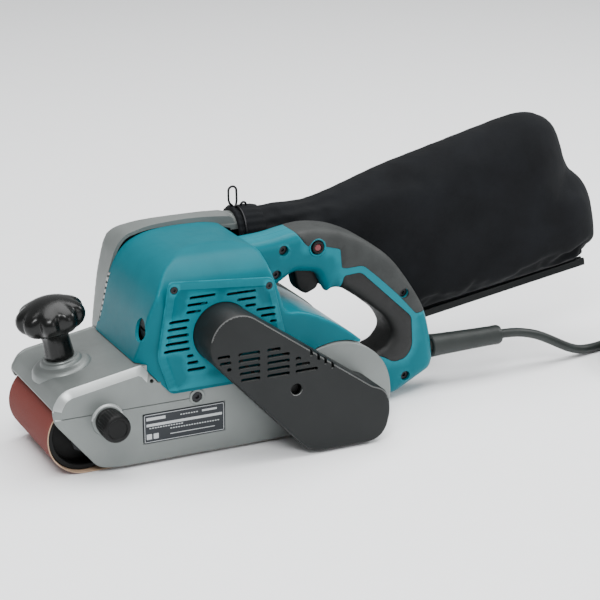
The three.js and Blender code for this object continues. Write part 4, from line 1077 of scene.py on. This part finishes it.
# ---- drive cover ----
COVER_X = 96
BOSS_R = 25
COVER_SCREW = (62, 60)
COVER_TAIL = [
    (68, 10), (74, 5), (84, 2), (132, 2), (140, 5.5), (145.5, 13), (148.6, 26), (147.6, 38), (144, 45.5),
    (138, 49.5), (132, 51.5)]
COVER_VENTS = [
    (-7, 4, 97.5), (-5, 5, 92), (1, 5, 86.5), (11, 30, 97.5), (11, 30, 92), (11, 30, 86.5), (12, 30, 81),
    (13, 30, 75.5), (36, 48, 97.5), (36, 56, 92), (36, 56, 86.5), (36, 56, 81), (36, 56, 75.5),
    (61, 66, 86.5), (61, 74, 81), (61, 81, 75.5)]


def cover_outline(inset):
    """The drive cover's outline: round the motor's axis, then down to the rear roller, drawn in by inset."""
    r = BOSS_R - inset
    turns = np.linspace(math.radians(55), math.radians(224), 40)
    points = [(MOTOR[0] + r * math.cos(a), MOTOR[1] + r * math.sin(a)) for a in turns]
    centre = Vector((105, 40))
    tail = []
    for y, z in COVER_TAIL:
        away = Vector((y, z)) - centre
        away.length -= inset * 1.12
        place = centre + away
        tail.append((place.x, place.y, 6))
    return points + tail


def cover_face(away, rim, p):
    """The flat outer face, with a small rolled edge."""
    t = np.clip(1 - away / 2.4, 0, 1)
    return COVER_X - 2.2 * (1 - np.sqrt(np.clip(1 - t * t, 0, 1)))


def drive_cover():
    """The belt's cover, hollow and vented. Its rolled edge, where it faces up, gets a painted highlight, a
    paler copy of the dark plastic.
    """
    shell = pillow("drive_cover_shell", cover_outline(0), "X", cover_face, level(57.4),
        rings=(0.25, 0.7, 1.3, 1.9, 2.4), grid=9, spacing=1.8)
    over_panel = prism([
        (-60, 180), (-60, -40), (68.5, -40), (68.5, 96), (57.5, 146.6), (57.5, 180)],
        "X", 50, PANEL_X + 0.3)
    rear = prism([(90.3, 56), (90.3, 180), (57, 180), (57, 56)], "X", 50, HOUSING_X + 0.4)
    inner = prism(cover_outline(2.6), "X", 50, COVER_X - 2.6)
    vents = [prism(slot_outline(*vent, 2.9), "X", 90, 100) for vent in COVER_VENTS]
    notches = [
        block(80, 97.5, 74 + i * 6.4, 76.6 + i * 6.4, 86.6 - i * 4.54, 98.6 - i * 4.54) for i in range(4)]
    screw_room = turned([(0, 80), (4.8, 80), (4.8, 95.4), (5.4, 96.1), (5.4, 98), (0, 98)],
        "X", COVER_SCREW, 40)
    boolean(shell, [over_panel, rear, inner, screw_room, *vents, *notches])
    collar = turned([
        (BOSS_R - 2.6, 60.7), (BOSS_R, 60.7), (BOSS_R, 66), (BOSS_R - 2.6, 66), (BOSS_R - 2.6, 60.7)],
        "X", MOTOR, 80)
    whole = joined("drive_cover_moulding", [shell, collar])
    # Upward-facing faces of the rolled edge take the second look, a painted highlight.
    for face in whole.data.polygons:
        rolled = COVER_X - 1 < face.center.x / MM < COVER_X - 0.12
        face.material_index = 1 if rolled and face.normal.z > 0.1 else 0
    return put(whole, ("dark", "dark_painted_highlight"), "machine", "drive_cover", slot="dark_plastic", angle=30)


drive_cover()
# The steel bolt is given the black look: painted shade, so that its deep recess reads as a dark hole.
screw = turned([(0, 66), (2.2, 66), (2.2, 87), (4.6, 87), (4.6, 90), (0, 90)],
    "X", COVER_SCREW, 32, name="cover_bolt")
put(screw, "black", "machine", "cover_screw", slot="steel")


# ---- handle ----
HANDLE_HALF = 18.5
HANDLE = [
    (53, 160), (80, 161.5, 8), (97, 164.8, 10), (113, 166.6, 12), (126, 165.4, 14), (140, 162.4, 10),
    (155, 156, 10), (165, 150.4, 8), (190, 132, 16), (210, 104.5, 16), (224, 81, 12), (229.8, 58, 12),
    (233, 32, 5), (229.5, 24, 3), (195, 6, 4), (176, 7, 5), (172.5, 24, 8), (172, 38, 8), (172.5, 45, 4),
    (176, 48.2, 2), (184, 50.5, 6), (193.5, 62, 9), (186, 78, 12), (166, 94.5, 8), (142.5, 111, 10),
    (133, 111.5, 3), (129, 108.5, 2), (126, 113, 3), (119, 128, 6), (97.5, 131.5, 8), (87, 124.5, 8),
    (76, 119, 4), (53, 112)]
GRIP_TOP = [
    (99, 190), (99, 166), (107, 154.5, 4), (112.5, 151, 2), (123.5, 151), (127, 150, 3), (139.5, 146.5, 2),
    (141, 129.5, 2), (146, 128.5, 2), (161.5, 129, 4), (176, 116.5, 6), (196, 97.5, 6), (213, 78.5, 2),
    (228, 78.5), (260, 78.5), (260, 190)]
GRIP_INNER = [
    (143, 122.5, 3), (159.5, 123.5, 4), (209, 76.5, 4), (210.5, 48, 6), (204, 38.5, 5), (192, 36.5, 4),
    (182, 43, 4), (172, 45.5), (160, 45.5), (150, 62), (130, 100), (136, 109), (141, 112)]
HANDLE_SCREWS = [(87, 152), (80.5, 131.5), (201.5, 98.5), (204, 22)]
LOCK = (118, 151)
RINGS = (0.25, 0.9, 2, 3.6, 5.8, 8.6)


def handle_height(away):
    """The shell's outer face, rounded down towards its edges."""
    t = np.clip(1 - away / 9.5, 0, 1)
    return HANDLE_HALF - 7.2 * (1 - np.sqrt(np.clip(1 - t * t, 0, 1)))


def shell_height(away, rim, p):
    return handle_height(away)


def grip_height(away, rim, p):
    """The soft skin stands a little proud of the shell and rolls down to it at its border."""
    roll = np.clip(1 - rim / 1.3, 0, 1) ** 2
    return handle_height(away) + np.where(away < 0.4, 0.3, 0.75) - roll * 1.15


def mirrored(obj):
    """The same piece on the other side of X = 0."""
    twin = bpy.data.objects.new(obj.name + "_twin", obj.data.copy())
    scene.collection.objects.link(twin)
    twin.data.transform(Matrix.Scale(-1, 4, (1, 0, 0)))
    twin.data.flip_normals()
    return twin


def left_rooms():
    """Cutters for what shows on the left side only: the lock button and the screws."""
    screws = [rod("X", 4.4, 12.2, 30, *place, 28) for place in HANDLE_SCREWS]
    return [rod("X", 6.4, 4, 30, *LOCK, 36), *screws]


def handle():
    """The two shells with their soft grips, and the rings round the lock button and one screw."""
    shell = pillow("handle_left", HANDLE, "X", shell_height, level(0.15), rings=RINGS, grid=6, spacing=1.6,
        holes=[GRIP_TOP, GRIP_INNER])
    right = mirrored(shell)
    right.name = "handle_right"
    trigger_rooms = [block(-8.7, 8.7, 99.5, 131, 104, 140) for side in range(2)]
    boolean(shell, [trigger_rooms[0], *left_rooms()])
    boolean(right, trigger_rooms[1:])
    put(shell, "teal", "machine", "handle_left_shell", slot="teal_plastic")
    put(right, "teal", "machine", "handle_right_shell", slot="teal_plastic")
    for node, zone, look, slot in (
            ("grip_top", GRIP_TOP, "grip", "grip_rubber"),
            ("grip_inner", GRIP_INNER, "grip_dark", "grip_dark")):
        near = pillow("near", zone, "X", grip_height, level(0), rings=RINGS, grid=5, spacing=1.6,
            within=HANDLE)
        far = mirrored(near)
        boolean(near, left_rooms())
        put(joined(node + "_skin", [near, far]), look, "machine", node, slot=slot, angle=40)
    for name, place, r, reach in (
            ("lock_ring", LOCK, 6.2, 19.3), ("screw_ring", HANDLE_SCREWS[2], 4.1, 17.2)):
        ring = turned([
            (r, 12), (r + 1.9, 12), (r + 1.9, reach - 0.8), (r + 1.3, reach), (r + 0.5, reach),
            (r, reach - 0.5), (r, 12)], "X", place, 40, name=name)
        put(ring, "teal", "machine", slot="teal_plastic")


handle()


def trigger():
    lever = prism([
        (101, 136), (101, 129, 3), (104, 115, 5), (107, 110.5, 3), (113, 107.3, 2), (122.5, 111, 3),
        (125.5, 117, 4), (123, 136)], "X", -8.2, 8.2, name="trigger_lever")
    bevelled(lever, 2.2, 4, 50)
    return put(lever, "black", "trigger", "trigger", slot="black_plastic", angle=50)


trigger()


def lock_button():
    """The lock-on button: a red centre in a black rim."""
    rim = tinted(turned([
        (3.3, 12.6), (5.4, 12.6), (5.4, 19.6), (5.1, 20.3), (4.5, 20.6), (3.8, 20.5), (3.3, 20.1),
        (3.3, 12.6)],
        "X", LOCK, 40), 0)
    centre = tinted(turned([(0, 13), (3.2, 13), (3.2, 19.2), (2.6, 19.8), (0, 20)], "X", LOCK, 40), 1)
    button = joined("lock_button_cap", [rim, centre])
    return put(button, ("black", "red"), "lock", "lock_button", slot="red_plastic")


lock_button()


# ---- dust bag ----
BAG_X = -60
BAG_SIDE = [
    (97, 167, 8), (106, 172, 8), (139, 176, 10), (170, 184, 16), (219, 200, 20), (345, 230.5, 14),
    (366, 232, 12), (389, 223, 10), (400, 204, 10), (409, 185, 6), (415, 175, 4), (428, 167, 8),
    (438, 155, 10), (443, 142, 10), (443, 110, 14), (441, 97, 10), (436, 88, 8), (424, 77, 8),
    (239, 50, 8), (113, 135, 16), (97, 135, 6)]
BAR = (Vector((236, 39.8)), Vector((436, 71.5)))
CUFF_THICK = 2.6
CLAMP_WIRE_R = 1
PUFF = 21.5
PUFF_FRAMES = 20


def bag_height(sign):
    """A cushion's rise towards its middle, less where the bag runs into its neck."""
    def height(away, rim, p):
        t = np.clip(1 - away / 52, 0, 1)
        return BAG_X + sign * (3 + PUFF * np.sqrt(np.clip(1 - t * t, 0, 1)))
    return height


def eased(x):
    x = np.clip(x, 0, 1)
    return x * x * (3 - 2 * x)


def positions(obj):
    """An object's vertices in millimetres."""
    flat = np.empty(len(obj.data.vertices) * 3)
    obj.data.vertices.foreach_get("co", flat)
    return flat.reshape(-1, 3) / MM


def reshape(obj, points):
    """Moves an object's vertices to points in millimetres."""
    obj.data.vertices.foreach_set("co", (points * MM).ravel())
    obj.data.update()


def blown_up(obj, held, cap):
    """Fills a closed fabric form with air, and keeps each point within cap of where it began."""
    before = positions(obj)
    group = obj.vertex_groups.new(name="held")
    group.add([int(i) for i in np.flatnonzero(held(before))], 1.0, "REPLACE")
    cloth = obj.modifiers.new("fabric", "CLOTH")
    fabric = {
        "quality": 6, "mass": 0.15, "tension_stiffness": 12, "compression_stiffness": 12,
        "shear_stiffness": 4,
        "bending_stiffness": 0.15, "shrink_min": -0.045, "use_pressure": True, "uniform_pressure_force": 4,
        "vertex_group_mass": "held"}
    for key, value in fabric.items():
        setattr(cloth.settings, key, value)
    cloth.settings.effector_weights.gravity = 0
    cloth.collision_settings.use_collision = False
    cloth.point_cache.frame_start = 1
    cloth.point_cache.frame_end = PUFF_FRAMES
    for step in range(1, PUFF_FRAMES + 1):
        scene.frame_set(step)
    settle(obj)
    moved = positions(obj) - before
    far = np.linalg.norm(moved, axis=1)
    reshape(obj, before + moved * (np.minimum(far, cap) / np.maximum(far, 1e-9))[:, None])
    obj.vertex_groups.clear()
    scene.frame_set(1)
    return obj


def gathers(points):
    """How far the cloth is drawn in where it is gathered on the neck, by the angle round the neck."""
    x, y, z = points.T
    axis_z = NOZZLE[1] + 0.12 * (y - 80)
    angle = np.arctan2(z - axis_z, x - BAG_X)
    fold = 0.5 - 0.5 * np.cos(11 * angle + 1.3 * np.sin(3 * angle) + 0.012 * (y - 90))
    fade = eased((y - 84) / 10) * eased((196 - y) / 80)
    inward = np.stack([BAG_X - x, 0 * y, axis_z - z], 1)
    inward /= np.maximum(np.linalg.norm(inward, axis=1), 1e-6)[:, None]
    return inward * (2.6 * fold * fade)[:, None]


def held_fast(p):
    """Which points stay put: the neck's, and those near the edge that the bar closes."""
    return (p[:, 1] < 97) | (p[:, 2] < 55 + 0.158 * (p[:, 1] - BAR[0].x))


def dust_bag():
    """The bag: a flat cushion and its neck, melted into one, blown up, and gathered towards the neck."""
    body = pillow("bag_body", BAG_SIDE, "X", bag_height(1), bag_height(-1), rings=(2, 6, 12), grid=8,
        spacing=4)
    throat = rod("Y", 20.5, 89, 132, *NOZZLE, 40)
    bag = cast(joined("dust_bag_cloth", [body, throat]), 5, 3)
    blown_up(bag, held_fast, 7)
    points = positions(bag)
    reshape(bag, points + gathers(points))
    fine = bag.modifiers.new("fine", "SUBSURF")
    fine.levels = 1
    fine.render_levels = 1
    put(bag, "cloth", "bag", "dust_bag", slot="bag_cloth", angle=180)
    return bag


dust_bag()


def cuff_wave(angle, r):
    return 1 + (0.012 if r > 20.5 else 0) * math.cos(22 * angle)


cuff = turned([
    (18.9, 72.6), (20.3, 72.4), (21.6, 72.9), (22.1, 74), (21.5, 75.2), (21, 76), (21, 78.4), (21.6, 79.6),
    (22.2, 82), (22.2, 88), (21.8, 93), (20.6, 98), (19.2, 98), (18.9, 86), (18.9, 72.6)],
    "Y", NOZZLE, 132, cuff_wave, "bag_cuff")
put(cuff, "cloth", "bag", slot="bag_cloth", angle=60)


def along_bar(s, lift):
    """The place a fraction s along the fastener's bar and lift above it, as (y, z)."""
    run = BAR[1] - BAR[0]
    up = Vector((-run.y, run.x)).normalized()
    place = BAR[0] + run * s + up * lift
    return place.x, place.y


def bag_hem():
    """The doubled strip that the bar clips over."""
    strip = prism([along_bar(0.03, 3.2), along_bar(0.965, 3.2), along_bar(0.965, 13), along_bar(0.03, 13)],
        "X",
        BAG_X - 1.1, BAG_X + 1.1)
    bevelled(strip, 0.5, 2)
    return put(strip, "cloth", "bag", slot="bag_cloth")


bag_hem()


def bag_clamp():
    """One spring wire: a small eye, once round the neck, and a tall narrow loop to pinch."""
    r = NOZZLE_R + CUFF_THICK + 0.3 + CLAMP_WIRE_R
    top = NOZZLE[1] + r
    eye = [
        (BAG_X + 1.4, 84.6 + 2.4 * math.cos(a), top + 0.6 + 2.4 * math.sin(a))
        for a in np.linspace(-0.6, 5.2, 16)]
    ring = []
    for k in range(61):
        angle = math.pi / 2 - 0.1 - (TAU - 0.2) * k / 60
        y = 79.4 - 3.6 * k / 60
        ring.append((BAG_X + r * math.cos(angle), y, NOZZLE[1] + r * math.sin(angle)))
    crown = [
        (BAG_X - 0.4, 75.2 + 3.7 * math.cos(a), 185.6 + 3.7 * math.sin(a)) for a in np.linspace(math.pi, 0,
        12)]
    loop = [(BAG_X - 1, 73.6, top + 1.6), (BAG_X - 0.6, 71.8, top + 5), *crown, (BAG_X, 78.9, top + 4),
        (BAG_X + 0.8, 77.6, top + 0.5), (BAG_X + 3, 77, top - 0.2)]
    path = curve_through([Vector(p) for p in eye[::3] + ring[::4] + loop], 1.6)
    clamp = wire("clamp_wire", path, CLAMP_WIRE_R)
    paint(clamp, "dark_steel")
    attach(clamp, "bag_clamp")
    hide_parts("bag_clamp")


bag_clamp()


# ---- tension spring ----
SPRING_FRONT, SPRING_BACK = -65.6, -40.3


def tension_spring():
    """A coil spring of six turns, mounted on the machine and made at one length."""
    turns, steps, around, thick = 6, 32, 8, 1.2
    verts = []
    for k in range(turns * steps + 1):
        angle = TAU * k / steps
        y = SPRING_FRONT + thick + 22.8 * k / (turns * steps)
        for j in range(around):
            swing = TAU * j / around
            r = 8.75 + thick * math.cos(swing)
            verts.append((
                r * math.cos(angle) * MM, (y + thick * math.sin(swing)) * MM,
                (AXLE_Z + r * math.sin(angle)) * MM))
    faces = [
        (i * around + j, i * around + (j + 1) % around, (i + 1) * around + (j + 1) % around,
        (i + 1) * around + j)
        for i in range(turns * steps) for j in range(around)]
    faces += [tuple(range(around))[::-1], tuple(range(turns * steps * around,
        (turns * steps + 1) * around))]
    spring = put(obj_of("spring_coil", verts, faces), "steel", "machine", "tension_spring", slot="steel",
        angle=50)
    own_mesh(spring)


tension_spring()


# ---- every CAD node that shows as it is ----
NODE_LOOKS = {
    "steel": """shoe_plate drive_shaft driven_pulley rear_bearing_inner rear_bearing_outer front_axle
        lever_pin knob_bolt armature_shaft motor_pulley armature_bearing_left armature_bearing_right""",
    "dark_steel": """roller_carrier panel_screw_1 panel_screw_2 stator armature_core bearing_plate
        handle_screw_1 handle_screw_2 handle_screw_3 handle_screw_4 frame_screw""",
    "black": "cooling_fan brush_holder_front brush_holder_rear switch_body",
    "dark": "tension_lever bag_fastener",
    "silver": "dust_fan",
    "copper": "commutator",
    "roller": "drive_belt",
    "cork": "cork_pad",
}
for look, names in NODE_LOOKS.items():
    for node_name in names.split():
        shaded(paint(nodes[node_name], look), 30)
